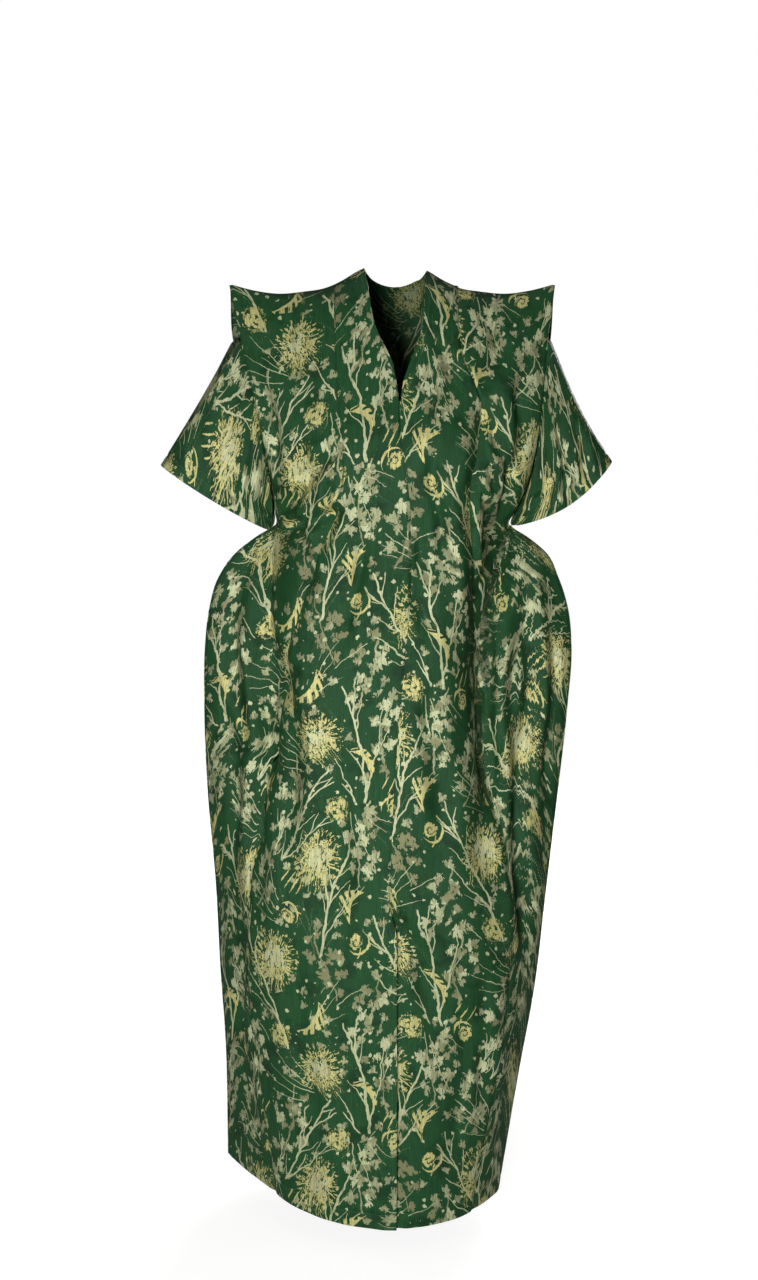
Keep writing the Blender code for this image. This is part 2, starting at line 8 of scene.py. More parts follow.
import bpy
import numpy as np
from bpy.props import FloatProperty, FloatVectorProperty, PointerProperty
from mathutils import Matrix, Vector


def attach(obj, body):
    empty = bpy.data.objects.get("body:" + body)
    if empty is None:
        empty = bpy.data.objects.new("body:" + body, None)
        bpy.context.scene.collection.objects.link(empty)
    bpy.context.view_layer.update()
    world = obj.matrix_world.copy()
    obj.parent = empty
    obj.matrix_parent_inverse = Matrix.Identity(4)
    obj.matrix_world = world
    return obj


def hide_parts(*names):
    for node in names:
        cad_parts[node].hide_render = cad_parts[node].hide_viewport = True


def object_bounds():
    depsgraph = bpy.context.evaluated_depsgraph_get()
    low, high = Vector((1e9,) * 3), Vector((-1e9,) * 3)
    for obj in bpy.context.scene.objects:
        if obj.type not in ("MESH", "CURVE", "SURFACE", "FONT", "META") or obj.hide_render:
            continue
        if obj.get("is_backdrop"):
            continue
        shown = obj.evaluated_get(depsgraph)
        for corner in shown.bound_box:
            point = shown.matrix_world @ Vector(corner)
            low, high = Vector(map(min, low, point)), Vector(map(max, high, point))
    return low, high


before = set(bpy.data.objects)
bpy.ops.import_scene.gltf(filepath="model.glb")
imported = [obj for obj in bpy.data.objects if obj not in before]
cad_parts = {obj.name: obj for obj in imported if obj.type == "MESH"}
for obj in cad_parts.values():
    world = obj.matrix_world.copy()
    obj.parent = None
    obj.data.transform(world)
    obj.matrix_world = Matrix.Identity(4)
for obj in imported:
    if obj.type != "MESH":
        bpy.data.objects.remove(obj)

bl_info = {
    "name": "Brocade Robe",
    "version": (1, 0, 0),
    "blender": (4, 5, 0),
    "location": "View3D > Sidebar > Robe",
    "description": "Builds a worn, hollow robe of figured brocade from its sizes",
    "category": "Add Mesh",
}

# Sizes that the solids share
SEAM_GAP = 0.0003
FACING_WIDTH = 0.024
FACING_PROUD = 0.006
FACING_PROUD_FROM = 0.08
FACING_PROUD_BY = 0.14
FACING_MOST_SHARE = 0.4
FACING_HANG = 0.0022
FACING_TOP = 0.02
FACING_SHORT = 0.01
LAP_WIDTH = 0.012
LAP_TOP = 0.92
LAP_RISE = 0.06
NECK_POINT = 0.182
SLEEVE_TOP = 0.085
UNDERARM = 0.370
HEM = 1.443
SHOULDER_ROLL = 0.085
RIDGE_FADE = 0.22
HEM_SHAPE_TOP = 0.90
HEM_LIFT_RIGHT = 0.027
HEM_LIFT_LEFT = 0.006
HEM_LIFT_BACK = 0.012

# Each row: drop, the front edge's x and y on the right, on the left, then how far the front and back reach
LEVEL_COLUMNS = ("drop", "right_x", "right_y", "left_x", "left_y", "front", "back")
LEVELS = (
    (0.000, -0.246, -0.020, 0.246, -0.020, -0.070, 0.072),
    (0.085, -0.229, -0.024, 0.236, -0.024, -0.088, 0.090),
    (0.160, -0.212, -0.044, 0.229, -0.044, -0.108, 0.104),
    (0.240, -0.196, -0.048, 0.220, -0.048, -0.128, 0.112),
    (0.310, -0.184, -0.036, 0.205, -0.036, -0.124, 0.106),
    (0.350, -0.181, -0.016, 0.189, -0.018, -0.119, 0.103),
    (0.370, -0.183, 0.004, 0.184, 0.002, -0.117, 0.102),
    (0.385, -0.207, 0.007, 0.207, 0.003, -0.117, 0.102),
    (0.410, -0.240, 0.010, 0.238, 0.003, -0.119, 0.104),
    (0.450, -0.270, 0.014, 0.259, 0.003, -0.124, 0.110),
    (0.500, -0.286, 0.018, 0.275, 0.002, -0.133, 0.120),
    (0.560, -0.294, 0.022, 0.281, 0.000, -0.144, 0.132),
    (0.650, -0.297, 0.026, 0.276, -0.004, -0.155, 0.142),
    (0.800, -0.294, 0.032, 0.261, -0.010, -0.164, 0.146),
    (0.950, -0.284, 0.038, 0.245, -0.017, -0.167, 0.144),
    (1.100, -0.279, 0.043, 0.229, -0.025, -0.167, 0.140),
    (1.250, -0.272, 0.047, 0.204, -0.033, -0.166, 0.136),
    (1.443, -0.271, 0.050, 0.174, -0.041, -0.165, 0.132),
)

# Each row: drop, then the x of the right and left neck edges down to the neck point
NECK_COLUMNS = ("drop", "right_x", "left_x")
NECK_EDGES = (
    (0.000, -0.0424, 0.0517),
    (0.030, -0.0365, 0.0487),
    (0.060, -0.0310, 0.0468),
    (0.080, -0.0262, 0.0446),
    (0.100, -0.0175, 0.0400),
    (0.120, -0.0088, 0.0340),
    (0.140, -0.0008, 0.0266),
    (0.160, 0.0055, 0.0182),
    (0.182, 0.0100, 0.0100),
)

# Each row: drop, then the x of the centre seam and of the long seams
SEAM_COLUMNS = ("drop", "centre_x", "right_x", "left_x")
SEAMS = (
    (0.000, 0.0050, -0.0880, 0.0985),
    (0.100, 0.0070, -0.0860, 0.1040),
    (0.182, 0.0100, -0.0800, 0.1330),
    (0.260, 0.0168, -0.0740, 0.1260),
    (0.320, 0.0250, -0.0820, 0.1150),
    (0.370, 0.0275, -0.0980, 0.1180),
    (0.450, 0.0277, -0.1260, 0.1300),
    (0.560, 0.0180, -0.1600, 0.1380),
    (0.700, 0.0060, -0.1860, 0.1420),
    (0.850, -0.0020, -0.2120, 0.1680),
    (0.950, -0.0050, -0.2240, 0.1840),
    (1.100, -0.0050, -0.2230, 0.1800),
    (1.250, -0.0050, -0.2080, 0.1580),
    (1.443, -0.0050, -0.1860, 0.1280),
)

# Each row: drop, the x where the round middle ends in front and behind, and that edge's height as a share
CORE_COLUMNS = ("drop", "right_front", "left_front", "right_back", "left_back", "step")
CORE = (
    (0.370, -0.183, 0.184, -0.183, 0.184, 0.00),
    (0.388, -0.184, 0.182, -0.186, 0.187, 0.02),
    (0.410, -0.184, 0.177, -0.190, 0.189, 0.09),
    (0.450, -0.184, 0.163, -0.196, 0.194, 0.22),
    (0.520, -0.185, 0.147, -0.204, 0.199, 0.36),
    (0.600, -0.186, 0.141, -0.210, 0.202, 0.43),
    (0.700, -0.187, 0.143, -0.214, 0.202, 0.45),
    (0.850, -0.212, 0.170, -0.218, 0.198, 0.45),
    (0.950, -0.226, 0.186, -0.220, 0.192, 0.45),
    (1.100, -0.225, 0.182, -0.220, 0.182, 0.46),
    (1.250, -0.209, 0.160, -0.216, 0.164, 0.48),
    (1.443, -0.187, 0.130, -0.210, 0.138, 0.50),
)
WING_PUFF = 0.010
WING_PUFF_SHARE = 0.09
CORE_ROUNDNESS = 0.75
CORE_ROUND_BY = 0.55
UNDERARM_SQUARENESS = 2.2
SQUARE_COMES = (0.18, 0.36)
SQUARE_GOES = (0.38, 0.62)

# Height of the shoulder line away from the neck: distance from the middle, height
RIDGE_COLUMNS = ("reach", "height")
RIDGE = (
    (0.036, 0.0230),
    (0.055, 0.0140),
    (0.075, 0.0020),
    (0.100, -0.0090),
    (0.135, -0.0150),
    (0.170, -0.0180),
    (0.210, -0.0130),
    (0.248, -0.0030),
)

# The back's edge is straighter than the front's where the shoulder stands open above the sleeve
BACK_EDGE_COLUMNS = ("drop", "right_out", "left_out")
BACK_EDGE = (
    (0.000, 0.000, 0.000),
    (0.085, 0.016, 0.008),
    (0.160, 0.010, 0.004),
    (0.260, 0.002, 0.001),
    (0.370, 0.000, 0.000),
)

# Soft folds of the solids: x, how far it drifts, half width, depth, and the drops where each starts and ends
FRONT_FOLDS = (
    (-0.115, 0.020, 0.016, 0.005, 0.26, 0.52),
    (0.075, 0.030, 0.018, 0.004, 0.34, 0.62),
    (-0.070, -0.030, 0.026, 0.005, 0.70, 1.35),
    (0.065, 0.020, 0.024, 0.005, 0.85, 1.43),
    (-0.262, -0.010, 0.014, 0.004, 0.60, 1.10),
    (0.215, 0.020, 0.016, 0.004, 0.50, 0.90),
)
BACK_FOLDS = (
    (-0.150, 0.030, 0.030, 0.016, 0.30, 1.42),
    (0.135, -0.020, 0.028, 0.015, 0.32, 1.20),
    (-0.035, 0.010, 0.026, 0.008, 0.50, 1.43),
    (0.070, -0.040, 0.022, 0.007, 0.62, 1.40),
)
FOLD_ENDS = 0.7
FRONT_FADE = 0.3
BACK_FADE = 0.5
SEAM_TROUGHS = {"right": (0.014, 0.005, 0.20, 0.75), "left": (0.013, 0.017, 0.17, 0.78)}
TROUGH_ENDS = 0.6

# Sleeves
CUFF_OUTER = {"right": (-0.354, -0.006, -0.2755), "left": (0.336, -0.010, -0.2694)}
CUFF_INNER = {"right": (-0.190, 0.002, -0.3760), "left": (0.191, 0.000, -0.3690)}
CUFF_HALF_DEPTH = 0.046
CUFF_ROUNDNESS = 0.8
CUFF_BOW = {"right": 0.002, "left": 0.014}
OVERARM_SAG = {"right": 0.002, "left": 0.015}
SLEEVE_SWELL = 0.010
SLEEVE_GAP = 0.0004
BRIDGE_RISE = 0.004
CUFF_CORNER = 0.03
BRIDGE_STEPS = 9

BACK_NECK_DROP = 0.028
BACK_NECK_SHAPED = 0.105

# Creases of the cloth. Each row: where it starts and ends as x and drop, how far it bows aside,
# its half width and depth, and how much of a ridge stands on its right as the line is followed
FRONT_CREASES = (
    (-0.176, 0.372, -0.070, 0.235, 0.010, 0.011, 0.0065, 0.5),
    (-0.178, 0.392, -0.036, 0.330, 0.012, 0.012, 0.0070, 0.6),
    (-0.150, 0.300, -0.112, 0.455, -0.010, 0.011, 0.0060, 0.4),
    (-0.092, 0.255, -0.104, 0.400, 0.006, 0.009, 0.0050, -0.5),
    (-0.135, 0.215, -0.150, 0.330, 0.008, 0.012, 0.0045, 0.4),
    (-0.050, 0.340, -0.078, 0.560, 0.008, 0.014, 0.0060, 0.5),
    (0.178, 0.372, 0.150, 0.200, -0.010, 0.010, 0.0060, 0.5),
    (0.180, 0.390, 0.120, 0.270, 0.010, 0.010, 0.0060, -0.5),
    (0.172, 0.400, 0.128, 0.470, 0.006, 0.010, 0.0050, 0.6),
    (0.062, 0.230, 0.086, 0.440, -0.008, 0.013, 0.0060, 0.4),
    (0.028, 0.330, 0.044, 0.540, 0.006, 0.014, 0.0055, -0.4),
    (-0.205, 0.120, -0.175, 0.320, 0.008, 0.012, 0.0050, 0.4),
    (-0.160, 0.030, -0.120, 0.190, -0.006, 0.016, 0.0040, 0.4),
    (0.205, 0.110, 0.190, 0.330, -0.008, 0.013, 0.0060, -0.5),
    (0.150, 0.030, 0.135, 0.170, 0.008, 0.016, 0.0040, 0.4),
    (0.070, 0.070, 0.088, 0.210, 0.006, 0.016, 0.0030, 0.4),
    (-0.230, 0.410, -0.236, 0.760, -0.012, 0.018, 0.0080, 0.5),
    (-0.208, 0.520, -0.216, 0.900, 0.010, 0.014, 0.0070, -0.5),
    (-0.262, 0.640, -0.248, 1.010, 0.008, 0.014, 0.0060, 0.5),
    (-0.140, 0.540, -0.156, 0.900, -0.008, 0.020, 0.0065, 0.5),
    (-0.080, 0.620, -0.104, 1.120, 0.014, 0.022, 0.0045, 0.5),
    (-0.020, 0.940, -0.048, 1.420, 0.010, 0.020, 0.0035, 0.4),
    (-0.245, 0.960, -0.226, 1.380, -0.008, 0.016, 0.0070, 0.5),
    (-0.150, 1.000, -0.136, 1.440, 0.010, 0.020, 0.0045, -0.4),
    (0.004, 0.900, 0.096, 1.130, -0.016, 0.020, 0.0065, 0.5),
    (0.096, 1.060, 0.104, 1.430, 0.010, 0.018, 0.0050, 0.4),
    (0.182, 0.480, 0.188, 0.840, 0.008, 0.015, 0.0080, -0.5),
    (0.214, 0.420, 0.224, 0.820, -0.010, 0.016, 0.0080, 0.5),
    (0.184, 0.720, 0.204, 1.080, 0.008, 0.015, 0.0080, -0.5),
    (0.060, 0.560, 0.086, 0.900, -0.008, 0.020, 0.0055, 0.4),
    (0.150, 1.040, 0.142, 1.420, -0.008, 0.015, 0.0050, 0.5),
    (0.246, 0.520, 0.238, 0.920, 0.006, 0.013, 0.0060, -0.4),
    (0.152, 0.160, 0.142, 0.680, 0.005, 0.030, 0.0110, 0.3),
    (0.146, 0.600, 0.156, 0.920, -0.005, 0.026, 0.0085, 0.4),
    (0.204, 0.860, 0.214, 1.010, 0.004, 0.016, 0.0060, 0.4),
    (-0.190, 0.500, -0.196, 0.780, 0.006, 0.026, 0.0090, 0.4),
    (-0.206, 0.760, -0.206, 1.020, -0.006, 0.018, 0.0040, 0.4),
    (0.014, 0.120, 0.008, 0.330, 0.003, 0.014, 0.0030, 0.3),
    (-0.110, 0.210, -0.120, 0.370, -0.012, 0.026, 0.0050, 0.3),
    (0.120, 1.100, 0.134, 1.220, 0.004, 0.020, 0.0040, 0.4),
)
BACK_CREASES = (
    (-0.176, 0.372, -0.060, 0.245, 0.012, 0.012, 0.0060, 0.5),
    (-0.178, 0.400, -0.030, 0.345, -0.010, 0.012, 0.0050, 0.5),
    (0.178, 0.372, 0.066, 0.220, -0.012, 0.012, 0.0060, -0.5),
    (0.180, 0.400, 0.020, 0.360, 0.010, 0.012, 0.0050, -0.5),
    (-0.200, 0.120, -0.168, 0.320, 0.008, 0.014, 0.0050, 0.4),
    (0.204, 0.110, 0.180, 0.330, -0.008, 0.014, 0.0050, -0.4),
    (-0.120, 0.060, -0.060, 0.210, 0.012, 0.020, 0.0040, 0.4),
    (0.130, 0.050, 0.080, 0.200, -0.012, 0.020, 0.0040, -0.4),
    (-0.010, 0.200, 0.012, 0.520, 0.010, 0.022, 0.0050, 0.4),
    (-0.230, 0.420, -0.236, 0.800, 0.010, 0.016, 0.0050, 0.5),
    (-0.190, 0.520, -0.206, 1.000, -0.012, 0.018, 0.0060, -0.5),
    (-0.100, 0.560, -0.120, 1.150, 0.014, 0.022, 0.0060, 0.5),
    (-0.070, 0.860, -0.080, 1.420, -0.010, 0.020, 0.0050, 0.4),
    (0.010, 0.600, -0.004, 1.250, 0.012, 0.022, 0.0050, -0.4),
    (0.090, 0.480, 0.110, 0.980, -0.012, 0.020, 0.0060, 0.5),
    (0.060, 0.900, 0.050, 1.420, 0.010, 0.020, 0.0050, 0.4),
    (0.170, 0.460, 0.182, 0.900, 0.010, 0.016, 0.0060, -0.5),
    (0.220, 0.440, 0.226, 0.820, -0.008, 0.014, 0.0050, 0.5),
    (0.150, 0.880, 0.130, 1.380, 0.008, 0.016, 0.0050, -0.5),
    (-0.230, 0.900, -0.216, 1.380, -0.008, 0.016, 0.0050, 0.5),
)

# Creases of a sleeve: x is the share from overarm to underarm, drop the share from armhole to cuff
SLEEVE_CREASES = {
    ("right", "front"): (
        (0.86, 0.00, 0.70, 0.80, 0.030, 0.060, 0.0045, 0.5),
        (0.62, 0.05, 0.50, 0.95, -0.030, 0.070, 0.0035, 0.5),
        (0.22, 0.30, 0.30, 1.00, 0.020, 0.080, 0.0030, -0.4),
    ),
    ("right", "back"): (
        (0.82, 0.00, 0.66, 0.90, 0.030, 0.060, 0.0045, -0.5),
        (0.40, 0.10, 0.44, 1.00, -0.030, 0.080, 0.0035, 0.5),
    ),
    ("left", "front"): (
        (0.26, 0.20, 0.50, 1.00, 0.040, 0.050, 0.0070, 0.6),
        (0.78, 0.00, 0.66, 0.85, -0.030, 0.060, 0.0045, 0.5),
        (0.12, 0.45, 0.24, 1.00, 0.020, 0.060, 0.0035, -0.4),
    ),
    ("left", "back"): (
        (0.80, 0.00, 0.62, 0.90, 0.030, 0.060, 0.0045, -0.5),
        (0.34, 0.10, 0.40, 1.00, -0.030, 0.080, 0.0040, 0.5),
    ),
}

# Fineness and finish of the sewn cloth
FRONT_SPACING = 0.0026
BACK_SPACING = 0.00325
SLEEVE_SPACING = 0.0026
EDGE_COLUMNS = (0.0, 0.0009, 0.0022)
GROOVE_DEPTH = 0.0020
GROOVE_WIDTH = 0.0026
HEM_TURN = 0.024
CUFF_TURN = 0.018
TURN_THICKNESS = 0.0008
LAP_STAND = 0.0062
LAP_WAVE = 0.35
LAP_BEAT = 21.0
LAP_SLOPE = 0.030
LAP_SINK = 0.0040
LAP_SINK_AT = 0.014
LAP_SINK_WIDTH = 0.010
STITCH_IN = 0.006
STITCH_PITCH = 0.0042
STITCH_SIDES = 5
NUDGE = 0.004
EDGE_ANGLE = np.radians(50)
RIM_FADE = 0.10
TOP_FADE = 0.030
SLOPING = 0.8
SEAM_ROOM = 0.8
MITRE_SHARE = 0.4
SOLID_CLOTH = 0.0015
BACK_SPREAD = 0.42 * np.pi
BACK_HALF_WIDTH = 0.28
SLEEVE_LENGTH = 0.20
SLEEVE_FLAT = 0.7
SLEEVE_FADE = 0.06
SLEEVE_THIN = 0.25
TUCK_IN = 0.0026
TUCK_UNDER = 0.0016
TUCK_FADE = 0.04
FACING_ROWS = 65
FACING_COLUMNS = 13
RIB_PITCH = 0.0013
FIGURE_METAL = 0.25
MOTIF_WOBBLE = {"bloom": 0.12, "bough": 0.05}
BOUGH_RAGGED = 0.008
CELLS_ACROSS = 7.4
CELLS_DOWN = 6.4
SPECK_SCALE = 58.0
FLAKE_SCALE = 46.0
FLAKE_SHARE = 0.22
FADED_SHARE = 0.14
BRIGHT_FROM = 0.40
TONE_SCALE = 26.0
STROKE_SCALE = 110.0
BEND_SCALE = 34.0
RAGGED_SCALE = 260.0
WORN_SCALE = 330.0
WORN_SHARE = 0.36
CLOUD_SCALE = 21.0
CLOUD_STEP = (0.50, 0.66)
DIM_STEP = (0.34, 0.54)
CHAMPAGNE_STROKES = (0.52, 0.62)
PALE_STROKES = (0.55, 0.66)
LIT_FROM = 0.44
BROCADE_SPECULAR = 0.16
DIM_WARMTH = (1.0, 1.0, 1.3)
BALL_RAISE = 0.11
BALL_RADIUS = 0.28
BALL_RINGS = 12.0
BALL_STRAND = 0.17
CREASE_FULL = 1.6
SIDES = ("right", "left")

# How the creases wane, wander and vary along their length, and the slight waves of stiff cloth
CREASE_ENDS = 0.8
CREASE_WANDER = 0.35
CREASE_BEATS = 9.0
CREASE_UNEVEN = 0.25
CREASE_UNEVEN_BEATS = 1.7 * CREASE_BEATS
CREASE_WANDER_DRAW = 90
CREASE_UNEVEN_DRAW = 50
CREASE_START_WIDTH = 0.7
CREASE_RIDGE_OUT = 1.7
CRINKLE_WAVES = 9
CRINKLE_LENGTHS = (0.030, 0.110)
CRINKLE_DRAW = 0.45
CRINKLE_DEPTH = 0.0005
SEED = 11

# The cut of each piece, in metres: greatest width and length, its area, and how far the figure of the
# brocade is shifted across and down in it
CUTS = {
    "front_centre_right": (0.24, 1.50, 0.280, 0.020, 0.010),
    "front_centre_left": (0.24, 1.50, 0.223, 0.144, 0.190),
    "front_side_right": (0.20, 1.50, 0.194, 0.047, 0.115),
    "front_side_left": (0.20, 1.50, 0.162, 0.066, 0.310),
    "back": (0.68, 1.52, 0.808, 0.110, 0.200),
    "sleeve_right": (0.66, 0.25, 0.063, 0.050, 0.330),
    "sleeve_left": (0.66, 0.25, 0.050, 0.170, 0.120),
    "neck_facing_right": (0.03, 0.17, 0.0041, 0.000, 0.000),
    "neck_facing_left": (0.03, 0.17, 0.0041, 0.120, 0.000),
}

# The figure of the brocade repeats in this tile
TILE_WIDTH = 0.24
TILE_LENGTH = 0.52

# Each row: motif, its middle in the tile across and down, its length, its width as a share, turn in degrees
BLOOMS = (
    ("ball", 0.058, 0.062, 0.124, 0.86, 8.0),
    ("cluster", 0.150, 0.050, 0.142, 0.52, -12.0),
    ("curl", 0.206, 0.020, 0.046, 1.00, 30.0),
    ("cluster", 0.222, 0.132, 0.150, 0.52, 16.0),
    ("fern", 0.128, 0.142, 0.062, 0.90, 38.0),
    ("rosette", 0.072, 0.172, 0.052, 1.00, 22.0),
    ("cluster", 0.012, 0.226, 0.150, 0.52, 6.0),
    ("ball", 0.146, 0.232, 0.104, 0.86, -28.0),
    ("fern", 0.216, 0.266, 0.062, 0.90, -34.0),
    ("cluster", 0.082, 0.318, 0.152, 0.52, 14.0),
    ("curl", 0.020, 0.340, 0.046, 1.00, 200.0),
    ("rosette", 0.172, 0.334, 0.050, 1.00, 60.0),
    ("cluster", 0.216, 0.392, 0.150, 0.52, 8.0),
    ("ball", 0.134, 0.420, 0.112, 0.86, 14.0),
    ("cluster", 0.042, 0.436, 0.142, 0.52, 22.0),
    ("curl", 0.088, 0.494, 0.044, 1.00, -60.0),
    ("fern", 0.200, 0.484, 0.060, 0.90, -150.0),
)
BOUGHS = (
    ("branch", 0.050, 0.110, 0.300, 0.46, -24.0),
    ("wisps", 0.176, 0.092, 0.190, 0.60, 36.0),
    ("branch", 0.206, 0.240, 0.290, 0.46, -12.0),
    ("wisps", 0.086, 0.232, 0.170, 0.60, -58.0),
    ("slashes", 0.016, 0.300, 0.056, 1.00, 28.0),
    ("branch", 0.112, 0.346, 0.260, 0.46, 34.0),
    ("wisps", 0.232, 0.392, 0.190, 0.60, 152.0),
    ("slashes", 0.090, 0.444, 0.056, 1.00, 36.0),
    ("branch", 0.170, 0.456, 0.260, 0.46, 16.0),
    ("wisps", 0.036, 0.438, 0.200, 0.60, -30.0),
)
LAYERS = {"bloom": BLOOMS, "bough": BOUGHS}
MOTIF_KINDS = {"bloom": ("ball", "cluster", "curl", "fern", "rosette"), "bough": ("branch", "slashes", "wisps")}
MOTIF_ROOM = (0.10, 0.16)

# The camera stands in front of the robe, a little above it, and looks slightly down
CAMERA_PLACE = (-0.020, -2.8, -0.12)
CAMERA_DOWN = 8.7
CAMERA_LENS = 51.13
SENSOR_WIDTH = 36.0

# The floor lies just below the hem
FLOOR_DROP = 0.03
FLOOR_SIZE = 14.0
FLOOR_CELLS = 8
LIGHT_TARGET = (0.0, 0.0, -0.72)

# Lights: name, place, size, power
LIGHTS = (
    ("key_light", (-0.5, -2.6, -0.6), 0.7, 72.0),
    ("fill_light", (1.9, -2.1, 0.1), 1.6, 3.0),
    ("top_light", (0.1, 0.2, 1.9), 1.6, 10.0),
    ("back_light", (0.9, 2.7, -0.3), 1.4, 55.0),
)
WORLD_GLOW = 0.05
WORLD_SEEN = 1.0
# Painted light: how brightly the floor glows to the camera near the robe and far away, and the distances over
# which it brightens. The dimmer glow near the robe paints shade round its foot.
FLOOR_GLOW = (0.78, 0.97)
FLOOR_NEAR = (0.30, 1.60)


class RobeSizes(bpy.types.PropertyGroup):
    """Sizes of the cloth and its sewing."""

    cloth: FloatProperty(
        name="Cloth",
        description="Thickness of one layer of the brocade",
        default=0.0010,
        min=0.0005,
        max=0.0015,
        unit="LENGTH",
        precision=4,
    )
    crease: FloatProperty(
        name="Creases",
        description="Depth of the creases as a share of their full depth",
        default=1.0,
        min=0.0,
        max=1.5,
        subtype="FACTOR",
    )
    stitch: FloatProperty(
        name="Stitch",
        description="Length of one stitch",
        default=0.0026,
        min=0.001,
        max=0.006,
        unit="LENGTH",
        precision=4,
    )
    thread: FloatProperty(
        name="Thread",
        description="Thickness of the sewing thread",
        default=0.0006,
        min=0.0002,
        max=0.001,
        unit="LENGTH",
        precision=4,
    )


class RobeColours(bpy.types.PropertyGroup):
    """Colours of the brocade, its thread and the floor."""

    green: FloatVectorProperty(
        name="Ground",
        description="Green of the satin ground",
        default=(0.012, 0.060, 0.019),
        size=3,
        min=0.0,
        max=1.0,
        subtype="COLOR",
    )
    gold: FloatVectorProperty(
        name="Gold",
        description="Bright metallic yarn of the figure",
        default=(0.61, 0.57, 0.23),
        size=3,
        min=0.0,
        max=1.0,
        subtype="COLOR",
    )
    champagne: FloatVectorProperty(
        name="Champagne",
        description="Paler and duller metallic yarn of the figure",
        default=(0.42, 0.45, 0.25),
        size=3,
        min=0.0,
        max=1.0,
        subtype="COLOR",
    )
    pale: FloatVectorProperty(
        name="Pale gold",
        description="Pale yarn of the boughs and specks",
        default=(0.53, 0.56, 0.33),
        size=3,
        min=0.0,
        max=1.0,
        subtype="COLOR",
    )
    thread: FloatVectorProperty(
        name="Thread",
        description="Sewing thread",
        default=(0.020, 0.100, 0.052),
        size=3,
        min=0.0,
        max=1.0,
        subtype="COLOR",
    )
    floor: FloatVectorProperty(
        name="Floor",
        description="Plain pale floor",
        default=(0.42, 0.42, 0.41),
        size=3,
        min=0.0,
        max=1.0,
        subtype="COLOR",
    )


def column(table, names, name, at):
    """The named column at these drops: a cubic through the rows, its slopes read from their neighbours."""
    rows = np.array(table)
    x = rows[:, 0]
    y = rows[:, names.index(name)]
    slopes = np.gradient(y, x)
    at = np.clip(at, x[0], x[-1])
    i = np.clip(np.searchsorted(x, at) - 1, 0, len(x) - 2)
    span = x[i + 1] - x[i]
    s = (at - x[i]) / span
    start = (2 * s**3 - 3 * s**2 + 1) * y[i] + (s**3 - 2 * s**2 + s) * span * slopes[i]
    end = (-2 * s**3 + 3 * s**2) * y[i + 1] + (s**3 - s**2) * span * slopes[i + 1]
    return start + end


def ease(low, high, value):
    """0 below low, 1 above high and a smooth step between them."""
    s = np.clip((value - low) / (high - low), 0.0, 1.0)
    return s * s * (3 - 2 * s)


def side_x(side, drop, back=False):
    """x of the armhole edge, and below it of the side seam, read from the levels."""
    x = column(LEVELS, LEVEL_COLUMNS, side + "_x", drop)
    if back:
        out = column(BACK_EDGE, BACK_EDGE_COLUMNS, side + "_out", drop)
        x = x + np.sign(x) * out
    return x


def side_y(side, drop, back=False):
    """y of the same edge: the back's is the front's mirrored in the underarm's y, down to the underarm."""
    y = column(LEVELS, LEVEL_COLUMNS, side + "_y", drop)
    if back:
        seam_y = column(LEVELS, LEVEL_COLUMNS, side + "_y", UNDERARM)
        return np.where(drop < UNDERARM, 2 * seam_y - y, y)
    return y


def roll(root):
    """Share of the full depth that the cloth has at this drop: a quarter circle over the shoulder."""
    s = np.clip(root / np.sqrt(SHOULDER_ROLL), -1.0, 1.0)
    return s * np.sqrt(2.0 - s * s)


def folds(table, x, drop):
    """Depth of the soft folds: each is a bell across its drifting middle and a sine from top to bottom."""
    depth = np.zeros(np.broadcast(x, drop).shape)
    for middle, drift, width, deep, top, bottom in table:
        along = np.clip((drop - top) / (bottom - top), 0.0, 1.0)
        centre = middle + drift * along
        across = np.exp(-(((x - centre) / width) ** 2))
        depth = depth + deep * across * np.sin(np.pi * along) ** FOLD_ENDS
    return depth


def height(x, share, drop, lift):
    """z of the cloth: minus the drop, plus the shoulder line fading down and the hem's lift growing to it."""
    ridge = column(RIDGE, RIDGE_COLUMNS, "height", np.abs(x))
    ridge = ridge * (1.0 - ease(0.0, RIDGE_FADE, drop))
    return ridge - drop + lift * share**2 * ease(HEM_SHAPE_TOP, HEM, drop)


def section(side, face, share, drop, centre, edge, edge_y, reach):
    """y across one half: a rounded power of the share, then a puffed straight line to the seam."""
    core = column(CORE, CORE_COLUMNS, side + "_" + face, drop)
    core = np.where(drop < UNDERARM, edge, core)
    core_share = (core - centre) / (edge - centre)
    core_y = edge_y + (reach - edge_y) * column(CORE, CORE_COLUMNS, "step", drop)
    square = ease(*SQUARE_COMES, drop) * (1.0 - ease(*SQUARE_GOES, drop))
    squareness = 2.0 + UNDERARM_SQUARENESS * square
    inside = np.clip(1.0 - np.abs(share / core_share) ** squareness, 0.0, 1.0)
    roundness = 1.0 - (1.0 - CORE_ROUNDNESS) * ease(UNDERARM, CORE_ROUND_BY, drop)
    middle = core_y + (reach - core_y) * inside**roundness
    beyond = np.clip((share - core_share) / np.maximum(1.0 - core_share, 1e-6), 0.0, 1.0)
    puff = np.minimum(WING_PUFF, WING_PUFF_SHARE * np.abs(edge - core)) * np.sin(np.pi * beyond)
    wing = core_y + (edge_y - core_y) * beyond + np.sign(reach) * puff
    chest = edge_y + (reach - edge_y) * (1.0 - np.abs(share) ** squareness)
    return np.where(drop < UNDERARM, chest, np.where(share < core_share, middle, wing))


